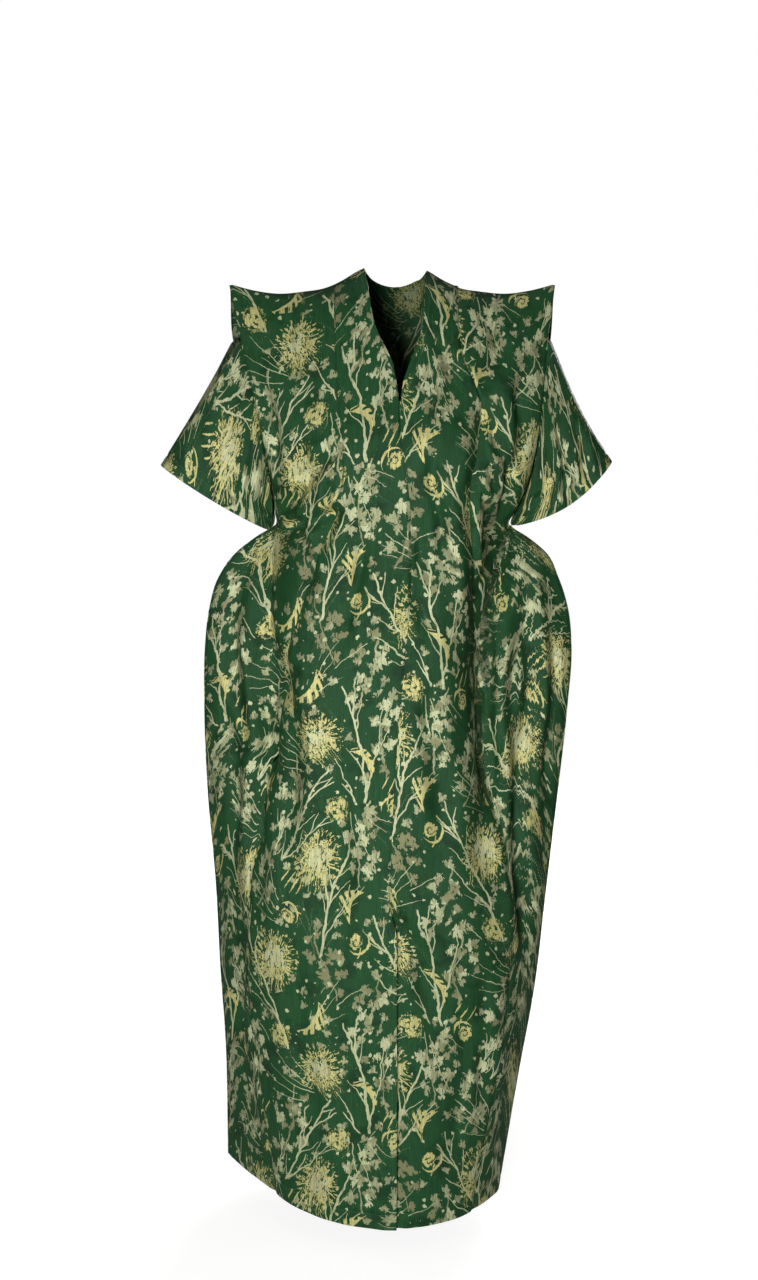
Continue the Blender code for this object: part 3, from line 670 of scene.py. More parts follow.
def front_point(side, share, root):
    """A point of the front: x runs from the centre seam (0) to the side (1), root squared is the drop."""
    drop = root * root
    centre = column(SEAMS, SEAM_COLUMNS, "centre_x", drop)
    edge = side_x(side, drop)
    x = centre + share * (edge - centre)
    reach = column(LEVELS, LEVEL_COLUMNS, "front", drop)
    y = section(side, "front", share, drop, centre, edge, side_y(side, drop), reach)
    width, depth, top, bottom = SEAM_TROUGHS[side]
    seam = column(SEAMS, SEAM_COLUMNS, side + "_x", drop)
    along = np.clip((drop - top) / (bottom - top), 0.0, 1.0)
    trough = depth * np.exp(-(((x - seam) / width) ** 2)) * np.sin(np.pi * along) ** TROUGH_ENDS
    y = y + (folds(FRONT_FOLDS, x, drop) + trough) * ease(0.0, FRONT_FADE, 1.0 - share)
    lift = HEM_LIFT_RIGHT if side == "right" else HEM_LIFT_LEFT
    return np.stack([x, y * roll(root), height(x, share, drop, lift)], axis=-1)


def back_point(share, root):
    """A point of the back: x runs from the right side (-1) to the left (1), root squared is the drop."""
    drop = root * root
    right = side_x("right", drop, back=True)
    left = side_x("left", drop, back=True)
    centre = (right + left) / 2.0
    toward_left = (share + 1.0) / 2.0
    x = right + (left - right) * toward_left
    reach = column(LEVELS, LEVEL_COLUMNS, "back", drop)
    right_y = side_y("right", drop, back=True)
    left_y = side_y("left", drop, back=True)
    away = np.abs(share)
    on_right = section("right", "back", away, drop, centre, right, right_y, reach)
    on_left = section("left", "back", away, drop, centre, left, left_y, reach)
    y = np.where(share < 0, on_right, on_left)
    y = y - folds(BACK_FOLDS, x, drop) * ease(0.0, BACK_FADE, 1.0 - away)
    side_lift = HEM_LIFT_RIGHT * (1 - toward_left) + HEM_LIFT_LEFT * toward_left
    z = height(x, share, drop, side_lift) + HEM_LIFT_BACK * (1 - share**2) * ease(HEM_SHAPE_TOP, HEM, drop)
    return np.stack([x, y * roll(root), z], axis=-1)


def share_at(side, drop, x):
    """The share of the front's width at which the cloth has this x."""
    centre = column(SEAMS, SEAM_COLUMNS, "centre_x", drop)
    return (x - centre) / (side_x(side, drop) - centre)


def inner_edge_x(side, drop):
    """x of the neck edge, and below the neck point of the centre seam."""
    neck = column(NECK_EDGES, NECK_COLUMNS, side + "_x", drop)
    seam = column(SEAMS, SEAM_COLUMNS, "centre_x", drop)
    return np.where(drop < NECK_POINT, neck, seam) + outward_of(side) * SEAM_GAP / 2


def outward_of(side):
    return -1.0 if side == "right" else 1.0


def normals_of(point, share, root, outside_y):
    """Unit normals of a surface: the cross product of its two slopes, turned to the outside."""
    across = point(share + NUDGE, root) - point(share - NUDGE, root)
    down = point(share, root + NUDGE) - point(share, root - NUDGE)
    normal = np.cross(across, down)
    normal = normal / np.linalg.norm(normal, axis=-1, keepdims=True)
    turn = np.sign(normal[..., 1:2] * outside_y + 1e-9)
    turn = np.where(np.abs(normal[..., 2:3]) > 0.95, np.sign(normal[..., 2:3]), turn)
    return normal * turn


def grid_normals(points, like):
    """Unit normals of a grid of points: the cross product of its differences, turned to agree with like."""
    normal = np.cross(np.gradient(points, axis=1), np.gradient(points, axis=0))
    normal = normal / np.maximum(np.linalg.norm(normal, axis=-1, keepdims=True), 1e-12)
    agree = np.sign(np.sum(normal * like, axis=-1, keepdims=True))
    return normal * np.where(agree == 0, 1.0, agree)


def creases(table, x, drop, scale):
    """How far the cloth lies in: for each crease a bell across its bowed line and a sine along it, with a
    lower ridge beside it, their depth and width a little uneven."""
    relief = np.zeros(np.broadcast(x, drop).shape)
    for x0, drop0, x1, drop1, bow, width, depth, ridge in table:
        run_x, run_drop = x1 - x0, drop1 - drop0
        length = np.hypot(run_x, run_drop)
        along = ((x - x0) * run_x + (drop - drop0) * run_drop) / length**2
        held = np.clip(along, 0.0, 1.0)
        aside = ((x - x0) * run_drop - (drop - drop0) * run_x) / length - 4 * bow * held * (1 - held)
        aside = aside + CREASE_WANDER * width * np.sin(CREASE_BEATS * held + CREASE_WANDER_DRAW * x0)
        wide = width * (CREASE_START_WIDTH + (1 - CREASE_START_WIDTH) * held)
        wane = np.sin(np.pi * held) ** CREASE_ENDS
        uneven = 1.0 + CREASE_UNEVEN * np.sin(CREASE_UNEVEN_BEATS * held + CREASE_UNEVEN_DRAW * x1)
        beside = aside - np.sign(ridge) * CREASE_RIDGE_OUT * wide
        shape = np.exp(-((aside / wide) ** 2)) - abs(ridge) * np.exp(-((beside / wide) ** 2))
        relief = relief + depth * CREASE_FULL * scale * wane * uneven * shape
    return relief


def crinkle(x, down):
    """Slight waves in the cloth: a sum of sines of several directions and lengths, drawn from a seed."""
    draw = np.random.default_rng(SEED)
    waves = np.zeros(np.broadcast(x, down).shape)
    for _ in range(CRINKLE_WAVES):
        turn = draw.uniform(0.0, np.pi)
        step = 2 * np.pi / draw.uniform(*CRINKLE_LENGTHS)
        start = draw.uniform(0.0, 2 * np.pi)
        waves = waves + np.sin(step * (x * np.cos(turn) + CRINKLE_DRAW * down * np.sin(turn)) + start)
    return CRINKLE_DEPTH * waves / np.sqrt(CRINKLE_WAVES)


def groove(distance):
    """The little valley beside a seam: a bell of the distance from it."""
    return GROOVE_DEPTH * np.exp(-((distance / GROOVE_WIDTH) ** 2))


def fine_roots(spacing):
    """Roots of the rows: even in root where the cloth rolls over the shoulder, then even in drop."""
    first = int(np.pi / 2 * SHOULDER_ROLL / spacing)
    second = int((HEM - SHOULDER_ROLL) / spacing)
    second += (first + second) % 2
    over = np.linspace(0.0, np.sqrt(SHOULDER_ROLL), first + 1)
    below = np.sqrt(np.linspace(SHOULDER_ROLL, HEM, second + 1)[1:])
    return np.concatenate([over, below])


def spread_columns(start, end, spacing):
    """x of every row's columns: two lie close to each sewn edge, the others evenly between them."""
    count = 2 * int(np.ceil(np.abs(end - start).max() / spacing / 2))
    close = np.sign(end - start)[:, None] * np.array(EDGE_COLUMNS)
    first = start[:, None] + close
    last = end[:, None] - close[:, ::-1]
    shares = np.linspace(0.0, 1.0, count + 1)[1:-1]
    between = first[:, -1:] + (last[:, :1] - first[:, -1:]) * shares
    return np.concatenate([first, between, last], axis=1)


def shell_faces(rows, cols, ring):
    """Corner lists of a thin shell: quads of the fine outer grid, quads of an inner grid of every second
    row and column, and pentagons round the rim that join the two."""
    grid = np.arange(rows * cols).reshape(rows, cols)
    few_rows, few_cols = (rows + 1) // 2, (cols // 2 if ring else (cols + 1) // 2)
    few = np.arange(few_rows * few_cols).reshape(few_rows, few_cols) + rows * cols
    if ring:
        grid = np.concatenate([grid, grid[:, :1]], axis=1)
        few = np.concatenate([few, few[:, :1]], axis=1)
    outer = np.stack([grid[:-1, :-1], grid[1:, :-1], grid[1:, 1:], grid[:-1, 1:]], axis=-1)
    inner = np.stack([few[:-1, :-1], few[:-1, 1:], few[1:, 1:], few[1:, :-1]], axis=-1)

    def rim(line, short):
        return np.stack([line[:-2:2], line[1:-1:2], line[2::2], short[1:], short[:-1]], axis=-1)

    rims = [rim(grid[0], few[0]), rim(grid[-1], few[-1])[:, ::-1]]
    if not ring:
        rims.append(rim(grid[:, 0], few[:, 0])[:, ::-1])
        rims.append(rim(grid[:, -1], few[:, -1]))
    return [outer.reshape(-1, 4), inner.reshape(-1, 4), *rims]


def fill_mesh(name, points, groups, flip=False):
    """A mesh from points and groups of faces, each group with one number of corners."""
    groups = [group[:, ::-1] if flip else group for group in groups]
    corners = np.concatenate([group.ravel() for group in groups])
    sizes = np.concatenate([np.full(len(group), group.shape[1]) for group in groups])
    mesh = bpy.data.meshes.new(name)
    mesh.vertices.add(len(points))
    mesh.vertices.foreach_set("co", points.astype(np.float32).ravel())
    mesh.loops.add(len(corners))
    mesh.loops.foreach_set("vertex_index", corners.astype(np.int32))
    mesh.polygons.add(len(sizes))
    mesh.polygons.foreach_set("loop_start", (np.cumsum(sizes) - sizes).astype(np.int32))
    mesh.update(calc_edges=True)
    mesh.validate()
    mesh.shade_smooth()
    mesh.set_sharp_from_angle(angle=EDGE_ANGLE)
    return mesh


def add_values(mesh, name, values):
    """Gives every point of the mesh one number under this name."""
    attribute = mesh.attributes.new(name, "FLOAT", "POINT")
    attribute.data.foreach_set("value", values.astype(np.float32).ravel())


def add_vectors(mesh, name, values):
    """Gives every point of the mesh three numbers under this name."""
    attribute = mesh.attributes.new(name, "FLOAT_VECTOR", "POINT")
    attribute.data.foreach_set("vector", values.astype(np.float32).ravel())


def add_cloth_map(mesh, across, down):
    """A map of the flat cloth in metres, across and down from the top, for every corner of every face."""
    corners = np.empty(len(mesh.loops), np.int32)
    mesh.loops.foreach_get("vertex_index", corners)
    flat = np.stack([across.ravel(), -down.ravel()], axis=-1)[corners]
    layer = mesh.uv_layers.new(name="cloth")
    layer.data.foreach_set("uv", flat.astype(np.float32).ravel())


def flat_lengths(points, start):
    """The cloth's own coordinates: lengths summed along each row from start, and down each column."""
    across = np.linalg.norm(np.diff(points, axis=1), axis=-1)
    across = np.concatenate([np.zeros((len(points), 1)), np.cumsum(across, axis=1)], axis=1)
    down = np.linalg.norm(np.diff(points[..., 1:], axis=0), axis=-1)
    down = np.concatenate([np.zeros((1, points.shape[1])), np.cumsum(down, axis=0)])
    return start + across, down


def inner_grid(outer, normal, thickness):
    """The inside of the cloth, under every second point: a step in, square to the cloth."""
    return (outer - grid_normals(outer, normal) * thickness[..., None])[::2, ::2]


def sizes():
    return bpy.context.scene.robe_sizes


def colours():
    return bpy.context.scene.robe_colours


def add_piece(name, mesh, material):
    """Puts a finished mesh into the scene as a piece that rides on the one body."""
    mesh.materials.append(material)
    piece = bpy.data.objects.new(name, mesh)
    bpy.context.scene.collection.objects.link(piece)
    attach(piece, "root")
    return piece


def add_cloth(node, outer, inner, across, down, material, flip=False, ring=False):
    """Makes one sewn piece: its shell, its flat map, and for every point its place in the nearest motif of each
    layer of the woven figure, its room there, and whether it lies on the inside.
    """
    rows, cols = outer.shape[:2]
    points = np.concatenate([outer.reshape(-1, 3), inner.reshape(-1, 3)])
    mesh = fill_mesh(node + "_shell", points, shell_faces(rows, cols, ring), flip)
    shift_u, shift_v = CUTS[node][3:]
    u = np.concatenate([across.ravel(), across[::2, ::2].ravel()])
    v = np.concatenate([down.ravel(), down[::2, ::2].ravel()])
    add_cloth_map(mesh, u, v)
    for layer in LAYERS:
        local, room = motif_places(layer, u + shift_u, v + shift_v)
        add_vectors(mesh, layer, local)
        add_values(mesh, layer + "_room", room)
    inside = np.concatenate([np.zeros(outer.shape[:2]).ravel(), np.ones(inner.shape[:2]).ravel()])
    add_values(mesh, "inside", inside)
    piece = add_piece(node + "_brocade", mesh, material)
    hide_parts(node)
    return piece


def lap_at(drop):
    """How far the upper half of the slit is raised, and how far it laps over, from 0 to 1."""
    raised = ease(LAP_TOP - LAP_RISE, LAP_TOP, drop)
    lapped = ease(LAP_TOP, LAP_TOP + LAP_RISE, drop)
    return raised, lapped


def turn_up(drop):
    """Thickness of the cloth, more below the line where the hem's turning ends, and the sewing line's dent."""
    edge = HEM - HEM_TURN
    thick = sizes().cloth + TURN_THICKNESS * ease(edge - GROOVE_WIDTH, edge + GROOVE_WIDTH, drop)
    return thick, GROOVE_DEPTH * 0.6 * np.exp(-(((drop - edge) / GROOVE_WIDTH) ** 2))


def front_sheet(side, x, roots, edges):
    """Points, normals, roots and drops of a stretch of the front: the solid's surface with creases, waves and
    seam grooves pressed in along its normal. edges are the x of the sewn edges of every row."""
    drop = (roots**2)[:, None] * np.ones_like(x)
    root = roots[:, None] * np.ones_like(x)
    share = share_at(side, drop, x)

    def point(share, root):
        return front_point(side, share, root)

    normal = normals_of(point, share, root, -1.0)
    relief = creases(FRONT_CREASES, x, drop, sizes().crease) + crinkle(x, drop)
    relief = relief * ease(0.0, RIM_FADE, 1.0 - share) * ease(0.0, TOP_FADE, drop)
    for edge in edges:
        relief = relief + groove(x - edge[:, None])
    relief = relief + turn_up(drop)[1]
    return point(share, root) - normal * relief[..., None], normal, drop, share


def front_centre(side, material):
    """Half of the centre front: x runs evenly from the neck edge and centre seam to the long seam. In the slit
    the right half's free edge is raised and laps over the left's, which sinks in a trough beside it."""
    roots = fine_roots(FRONT_SPACING)
    drops = roots**2
    outward = outward_of(side)
    inner = inner_edge_x(side, drops)
    outer_edge = column(SEAMS, SEAM_COLUMNS, side + "_x", drops) - outward * SEAM_GAP / 2
    raised, lapped = lap_at(drops)
    start = inner + LAP_WIDTH * lapped if side == "right" else inner
    x = spread_columns(start, outer_edge, FRONT_SPACING)
    sewn = np.where((drops > NECK_POINT) & (drops < LAP_TOP), inner, 1.0)
    outer, normal, drop, share = front_sheet(side, x, roots, (sewn, outer_edge))
    if side == "right":
        stand = LAP_STAND * (1.0 + LAP_WAVE * np.sin(LAP_BEAT * drop))
        lift = raised[:, None] * stand * (1.0 - ease(0.0, LAP_SLOPE, inner[:, None] - x))
        outer = outer + normal * lift[..., None]
    else:
        beside = (x - inner[:, None] - LAP_SINK_AT) / LAP_SINK_WIDTH
        sink = LAP_SINK * lapped[:, None] * np.exp(-(beside**2))
        outer = outer - normal * sink[..., None]
    thick, _ = turn_up(drop)
    under = inner_grid(outer, normal, thick)
    across, down = flat_lengths(outer, start[:, None] * outward)
    across = across * outward
    node = "front_centre_" + side
    piece = add_cloth(node, outer, under, across, down, material, flip=side == "right")
    lines = [*edge_lines(outer, normal, drops), hem_line(outer, normal, drops)]
    thread = stitch_line(node, lines)


def front_side(side, material):
    """The side front: x runs evenly from the long seam to the armhole and the side seam."""
    roots = fine_roots(FRONT_SPACING)
    drops = roots**2
    outward = outward_of(side)
    seam = column(SEAMS, SEAM_COLUMNS, side + "_x", drops) + outward * SEAM_GAP / 2
    edge = side_x(side, drops)
    x = spread_columns(seam, edge, FRONT_SPACING * SLOPING)
    outer, normal, drop, share = front_sheet(side, x, roots, (seam, edge))
    below = drops >= UNDERARM
    outer[below, -1, 1] -= SEAM_GAP / 2
    outer[0, :, 1] -= SEAM_GAP / 2
    thick, _ = turn_up(drop)
    plane = side_y(side, drops)[:, None] * np.ones_like(x)
    under = mitred_inside(outer, normal, thick, plane, -1.0, below, (-1,))
    across, down = flat_lengths(outer, seam[:, None] * outward)
    across = across * outward
    node = "front_side_" + side
    piece = add_cloth(node, outer, under, across, down, material, flip=side == "right")
    thread = stitch_line(node, [hem_line(outer, normal, drops)])


def mitred_inside(outer, normal, thick, plane, outside_y, below, columns):
    """The inside of a piece with side seams. Below the underarm each step stops short of the plane where the
    front and back part, and the seam's own points step along it towards the middle."""
    points = outer[::2, ::2]
    step = -grid_normals(outer, normal)[::2, ::2] * thick[::2, ::2, None]
    rows = below[::2]
    room = np.maximum((points[rows, :, 1] - plane[::2][rows][:, ::2]) * outside_y - SEAM_GAP, 0.0)
    taken = np.maximum(-step[rows, :, 1] * outside_y, 1e-9)
    step[rows] = step[rows] * np.minimum(1.0, SEAM_ROOM * room / taken)[..., None]
    for edge in columns:
        towards = 1 if edge == 0 else -2
        gap = points[rows, towards, 0] - points[rows, edge, 0]
        step[rows, edge] = 0.0
        step[rows, edge, 0] = MITRE_SHARE * gap
    return points + step


def back_shares(roots, spacing):
    """Shares and roots of the back's grid. Between the neck points the top rows scoop down as a root
    of a sine."""
    drops = roots**2
    start = side_x("right", 0.0, back=True)
    width = side_x("left", 0.0, back=True) - start
    neck_right = (column(NECK_EDGES, NECK_COLUMNS, "right_x", 0.0) - start) * 2.0 / width - 1.0
    neck_left = (column(NECK_EDGES, NECK_COLUMNS, "left_x", 0.0) - start) * 2.0 / width - 1.0
    cells = 2 * int(BACK_HALF_WIDTH * (1.0 + neck_right) / spacing / 2)
    middle_cells = 2 * int(BACK_HALF_WIDTH * (neck_left - neck_right) / spacing / 2)
    spread = np.sin(np.linspace(0.0, BACK_SPREAD, cells + 1)) / np.sin(BACK_SPREAD)
    right = neck_right + (-1.0 - neck_right) * spread[::-1]
    middle = np.linspace(neck_right, neck_left, middle_cells + 1)[1:-1]
    left = neck_left + (1.0 - neck_left) * spread
    share = np.concatenate([right, middle, left])
    across = np.clip((share - neck_right) / (neck_left - neck_right), 0.0, 1.0)
    scoop = BACK_NECK_DROP * np.sqrt(np.sin(np.pi * across))
    keep = np.clip(1.0 - drops / BACK_NECK_SHAPED, 0.0, 1.0)
    drop = drops[:, None] + scoop * keep[:, None]
    return share * np.ones_like(drop), np.sqrt(drop)


def back_panel(material):
    """The back in one piece, with a low neck edge: x runs from the right side seam to the left one."""
    roots = fine_roots(BACK_SPACING)
    drops = roots**2
    share, root = back_shares(roots, BACK_SPACING)
    drop = root**2
    points = back_point(share, root)
    normal = normals_of(back_point, share, root, 1.0)
    x = points[..., 0]
    relief = creases(BACK_CREASES, x, drop, sizes().crease) + crinkle(x + 1.0, drop)
    relief = relief * ease(0.0, RIM_FADE, 1.0 - np.abs(share)) * ease(0.0, TOP_FADE, drops)[:, None]
    relief = relief + groove(x - x[:, :1]) + groove(x - x[:, -1:])
    relief = relief + turn_up(drop)[1]
    outer = points - normal * relief[..., None]
    below = drops >= UNDERARM
    outer[below, 0, 1] += SEAM_GAP / 2
    outer[below, -1, 1] += SEAM_GAP / 2
    outer[0, :, 1] += SEAM_GAP / 2
    toward_left = (share + 1.0) / 2.0
    plane = side_y("right", drop) * (1 - toward_left) + side_y("left", drop) * toward_left
    thick, _ = turn_up(drop)
    under = mitred_inside(outer, normal, thick, plane, 1.0, below, (0, -1))
    across, down = flat_lengths(outer, 0.0)
    middle = across.shape[1] // 2
    across = across - across[:, middle:middle + 1]
    piece = add_cloth("back", outer, under, across, down, material, flip=True)
    thread = stitch_line("back", [hem_line(outer, normal, drops)])


def sleeve(side, material):
    """A flared tube: straight lines from the armhole's edge, all round, to a slanted oval cuff, with a swell in
    front and behind, a sag along the top and creases. Its sewn edge is tucked under the armhole's."""
    outward = outward_of(side)
    count = int((UNDERARM - SLEEVE_TOP) / SLEEVE_SPACING)
    roots = np.sqrt(np.linspace(SLEEVE_TOP, UNDERARM, count + 1))
    front = front_point(side, np.ones_like(roots), roots)
    far = -1.0 if side == "right" else 1.0
    behind = back_point(far * np.ones_like(roots), roots)[::-1]
    under = (front[-1] + behind[0]) / 2
    s = np.linspace(0.0, 1.0, BRIDGE_STEPS + 2)[1:-1, None]
    bridge = behind[-1] * (1 - s) + front[0] * s
    bridge[:, 2] += BRIDGE_RISE * np.sin(np.pi * s[:, 0])
    start = np.concatenate([front[:-1], under[None], behind[1:], bridge])
    start[:, 0] += outward * SLEEVE_GAP

    chord = CUFF_CORNER + (1.0 - CUFF_CORNER) * np.arange(count) / count
    front_turn = np.arccos(1.0 - 2.0 * chord)
    corner = front_turn[0]
    bridge_turn = np.linspace(-corner, corner, BRIDGE_STEPS + 2)[1:-1]
    turn = np.concatenate([front_turn, [np.pi], 2 * np.pi - front_turn[::-1], bridge_turn])
    along = (1.0 - np.cos(turn)) / 2.0
    outer_end = np.array(CUFF_OUTER[side])
    end = outer_end + (np.array(CUFF_INNER[side]) - outer_end) * along[:, None]
    end[:, 1] -= CUFF_HALF_DEPTH * np.sign(np.sin(turn)) * np.abs(np.sin(turn)) ** CUFF_ROUNDNESS

    steps = 2 * int(SLEEVE_LENGTH / SLEEVE_SPACING / 2)
    t = np.linspace(0.0, 1.0, steps + 1)[:, None, None]
    points = start * (1 - t) + end * t
    t = t[..., 0]
    swell = np.sin(np.pi * t)
    bow = CUFF_BOW[side] * np.sin(np.pi * along) * t**1.5
    points[..., 1] -= SLEEVE_SWELL * swell * np.sin(turn)
    points[..., 2] -= OVERARM_SAG[side] * swell * (1.0 - along) ** 2 + bow
    points[..., 0] += outward * bow / 2

    middle = points.mean(axis=1, keepdims=True)
    normal = ring_normals(points, points - middle)
    is_front = np.sin(turn) > 0
    relief = np.zeros_like(along * t)
    for face, there in (("front", is_front), ("back", ~is_front)):
        pressed = creases(SLEEVE_CREASES[side, face], along * np.ones_like(t), t * np.ones_like(along), 1.0)
        relief = relief + pressed * there * np.abs(np.sin(turn)) ** SLEEVE_FLAT
    relief = relief * sizes().crease * ease(0.0, SLEEVE_FADE, t)
    from_cuff = (1.0 - t) * np.linalg.norm(end - start, axis=-1)
    relief = relief + groove(t * SLEEVE_LENGTH) + 0.6 * groove(from_cuff - CUFF_TURN)
    outer = points - normal * relief[..., None]
    tuck = np.clip((along - CUFF_CORNER) / TUCK_FADE, 0.0, 1.0) * np.clip((1.0 - along) / TUCK_FADE, 0.0, 1.0)
    outer[0] -= normal[0] * (TUCK_UNDER * tuck)[:, None]
    outer[0, :, 0] -= outward * TUCK_IN * tuck
    thick = sizes().cloth + TURN_THICKNESS * ease(CUFF_TURN + GROOVE_WIDTH, CUFF_TURN - GROOVE_WIDTH, from_cuff)
    thick = thick * np.clip(SLEEVE_THIN + np.abs(np.sin(turn)), 0.0, 1.0)
    under = (outer - ring_normals(outer, normal) * thick[..., None])[::2, ::2]
    around = np.linalg.norm(np.roll(outer, -1, axis=1) - outer, axis=-1)
    across = np.cumsum(around, axis=1) - around
    down = np.linalg.norm(np.diff(outer, axis=0), axis=-1)
    down = np.concatenate([np.zeros((1, down.shape[1])), np.cumsum(down, axis=0)])
    node = "sleeve_" + side
    piece = add_cloth(node, outer, under, across, down, material, flip=side == "left", ring=True)
    thread = stitch_line(node, [cuff_line(outer, normal, from_cuff)])


def ring_normals(points, like):
    """Unit normals of a tube whose rows are closed rings, turned to agree with like."""
    across = np.roll(points, -1, axis=1) - np.roll(points, 1, axis=1)
    normal = np.cross(across, np.gradient(points, axis=0))
    normal = normal / np.maximum(np.linalg.norm(normal, axis=-1, keepdims=True), 1e-12)
    outside = np.sign(np.sum(normal * like, axis=(1, 2), keepdims=True))
    return normal * outside


def neck_facing(side, material):
    """The strip turned in along the neck edge. It hangs back from the edge and stands a little proud low in
    the V: x runs evenly from its free edge to its sewn one."""
    roots = np.sqrt(np.linspace(FACING_TOP, NECK_POINT - FACING_SHORT, FACING_ROWS))
    drops = roots**2
    outward = outward_of(side)
    neck = column(NECK_EDGES, NECK_COLUMNS, side + "_x", drops)
    half_open = np.abs(neck - column(SEAMS, SEAM_COLUMNS, "centre_x", drops))
    proud = FACING_PROUD * ease(FACING_PROUD_FROM, FACING_PROUD_BY, drops)
    proud = np.minimum(proud, FACING_MOST_SHARE * half_open)
    shares = np.linspace(0.0, 1.0, FACING_COLUMNS)
    x = (neck - outward * proud)[:, None] + (outward * (FACING_WIDTH + proud))[:, None] * shares
    drop = drops[:, None] * np.ones_like(x)
    root = roots[:, None] * np.ones_like(x)
    share = share_at(side, drop, x)

    def point(share, root):
        return front_point(side, share, root)

    normal = normals_of(point, share, root, -1.0)
    hang = SOLID_CLOTH + SEAM_GAP + FACING_HANG * (1 - shares)
    outer = point(share, root) - normal * hang[None, :, None]
    under = inner_grid(outer, normal, sizes().cloth * np.ones_like(x))
    across, down = flat_lengths(outer, 0.0)
    node = "neck_facing_" + side
    piece = add_cloth(node, outer, under, across, down, material, flip=side == "right")


def row_near(drops, at):
    return int(np.argmin(np.abs(drops - at)))


def hem_line(outer, normal, drops):
    """The sewing line of the hem: the row where its turning ends."""
    row = row_near(drops, HEM - HEM_TURN)
    return outer[row], normal[row]


def edge_lines(outer, normal, drops):
    """The sewing lines beside the neck edge and the slit, a set distance in from the first column."""
    away = np.abs(outer[..., 0] - outer[:, :1, 0])
    place = np.argmin(np.abs(away - STITCH_IN), axis=1)
    rows = np.arange(len(drops))
    lines = []
    for there in (drops < NECK_POINT - FACING_SHORT, (drops > LAP_TOP) & (drops < HEM - HEM_TURN)):
        lines.append((outer[rows[there], place[there]], normal[rows[there], place[there]]))
    return lines


def cuff_line(outer, normal, from_cuff):
    """The sewing line of the cuff: in every column the point where its turning ends."""
    place = np.argmin(np.abs(from_cuff - CUFF_TURN), axis=0)
    columns = np.arange(outer.shape[1])
    points, facing = outer[place, columns], normal[place, columns]
    return np.concatenate([points, points[:1]]), np.concatenate([facing, facing[:1]])


def stitch_line(node, lines):
    """Stitches along lines on the cloth: each a short arched thread of five sides, thinner at both ends."""
    ring_turn = np.linspace(0.0, 2 * np.pi, STITCH_SIDES, endpoint=False)
    stations = np.array([-0.5, 0.0, 0.5])
    widths = np.array([0.5, 1.0, 0.5])
    parts = []
    for points, normal in lines:
        lengths = np.concatenate([[0.0], np.cumsum(np.linalg.norm(np.diff(points, axis=0), axis=-1))])
        at = np.arange(STITCH_PITCH, lengths[-1] - STITCH_PITCH, STITCH_PITCH)
        place = np.stack([np.interp(at, lengths, points[:, k]) for k in range(3)], axis=-1)
        ahead = np.stack([np.interp(at + STITCH_PITCH / 2, lengths, points[:, k]) for k in range(3)], axis=-1)
        facing = np.stack([np.interp(at, lengths, normal[:, k]) for k in range(3)], axis=-1)
        facing = facing / np.linalg.norm(facing, axis=-1, keepdims=True)
        ahead = ahead - place
        ahead = ahead / np.linalg.norm(ahead, axis=-1, keepdims=True)
        aside = np.cross(ahead, facing)
        radius = sizes().thread / 2
        spine = place[:, None] + ahead[:, None] * (stations * sizes().stitch)[:, None]
        spine = spine + facing[:, None] * (radius * (2 * widths - 1.2))[:, None]
        ring = facing[:, None] * np.cos(ring_turn)[:, None] + aside[:, None] * np.sin(ring_turn)[:, None]
        parts.append(spine[:, :, None] + ring[:, None] * (radius * widths)[:, None, None])
    points = np.concatenate(parts)
    count = len(points)
    index = np.arange(count * len(stations) * STITCH_SIDES).reshape(count, len(stations), STITCH_SIDES)
    around = np.roll(index, -1, axis=2)
    sides = np.stack([index[:, :-1], around[:, :-1], around[:, 1:], index[:, 1:]], axis=-1).reshape(-1, 4)
    caps = np.concatenate([index[:, 0, ::-1], index[:, -1]])
    mesh = fill_mesh(node + "_thread", points.reshape(-1, 3), [sides, caps])
    return add_piece(node + "_stitches", mesh, thread_material())


def motif_places(layer, u, v):
    """For every point of the cloth the motif that it belongs to: the one whose ellipse it lies deepest in.
    Gives its place in that motif's own turned frame, in lengths of the motif, its kind with a seed as the
    fraction, and its room, which falls to 0 where the next motif begins."""
    rows = LAYERS[layer]
    best = np.full(u.shape, np.inf)
    second = best.copy()
    local = np.zeros((*u.shape, 3))
    for number, (motif, across, down, size, share, turn) in enumerate(rows):
        dx = np.mod(u - across + TILE_WIDTH / 2, TILE_WIDTH) - TILE_WIDTH / 2
        dy = np.mod(v - down + TILE_LENGTH / 2, TILE_LENGTH) - TILE_LENGTH / 2
        cos, sin = np.cos(np.radians(turn)), np.sin(np.radians(turn))
        x, y = (dx * cos + dy * sin) / size, (dy * cos - dx * sin) / size
        depth = 2 * np.hypot(x / share, y)
        nearer = depth < best
        second = np.where(nearer, best, np.minimum(second, depth))
        best = np.where(nearer, depth, best)
        kind = MOTIF_KINDS[layer].index(motif) + 0.05 + 0.9 * (number + 0.5) / len(rows)
        local[nearer] = np.stack([x, y, np.full_like(x, kind)], axis=-1)[nearer]
    return local, second - best


def new_group(name, inputs, outputs):
    """An empty shader node group with float, colour or vector sockets."""
    kinds = {"float": "NodeSocketFloat", "colour": "NodeSocketColor", "vector": "NodeSocketVector"}
    group = bpy.data.node_groups.new(name, "ShaderNodeTree")
    for label, kind in inputs:
        group.interface.new_socket(label, in_out="INPUT", socket_type=kinds[kind])
    for label, kind in outputs:
        group.interface.new_socket(label, in_out="OUTPUT", socket_type=kinds[kind])
    return group, group.nodes.new("NodeGroupInput"), group.nodes.new("NodeGroupOutput")


def put(tree, kind, inputs=None, **settings):
    """Adds a node: settings are its own values, and inputs are values or sockets by name or number."""
    node = tree.nodes.new(kind)
    for name, value in settings.items():
        setattr(node, name, value)
    for socket, value in (inputs or {}).items():
        if isinstance(value, bpy.types.NodeSocket):
            tree.links.new(value, node.inputs[socket])
        else:
            node.inputs[socket].default_value = value
    return node


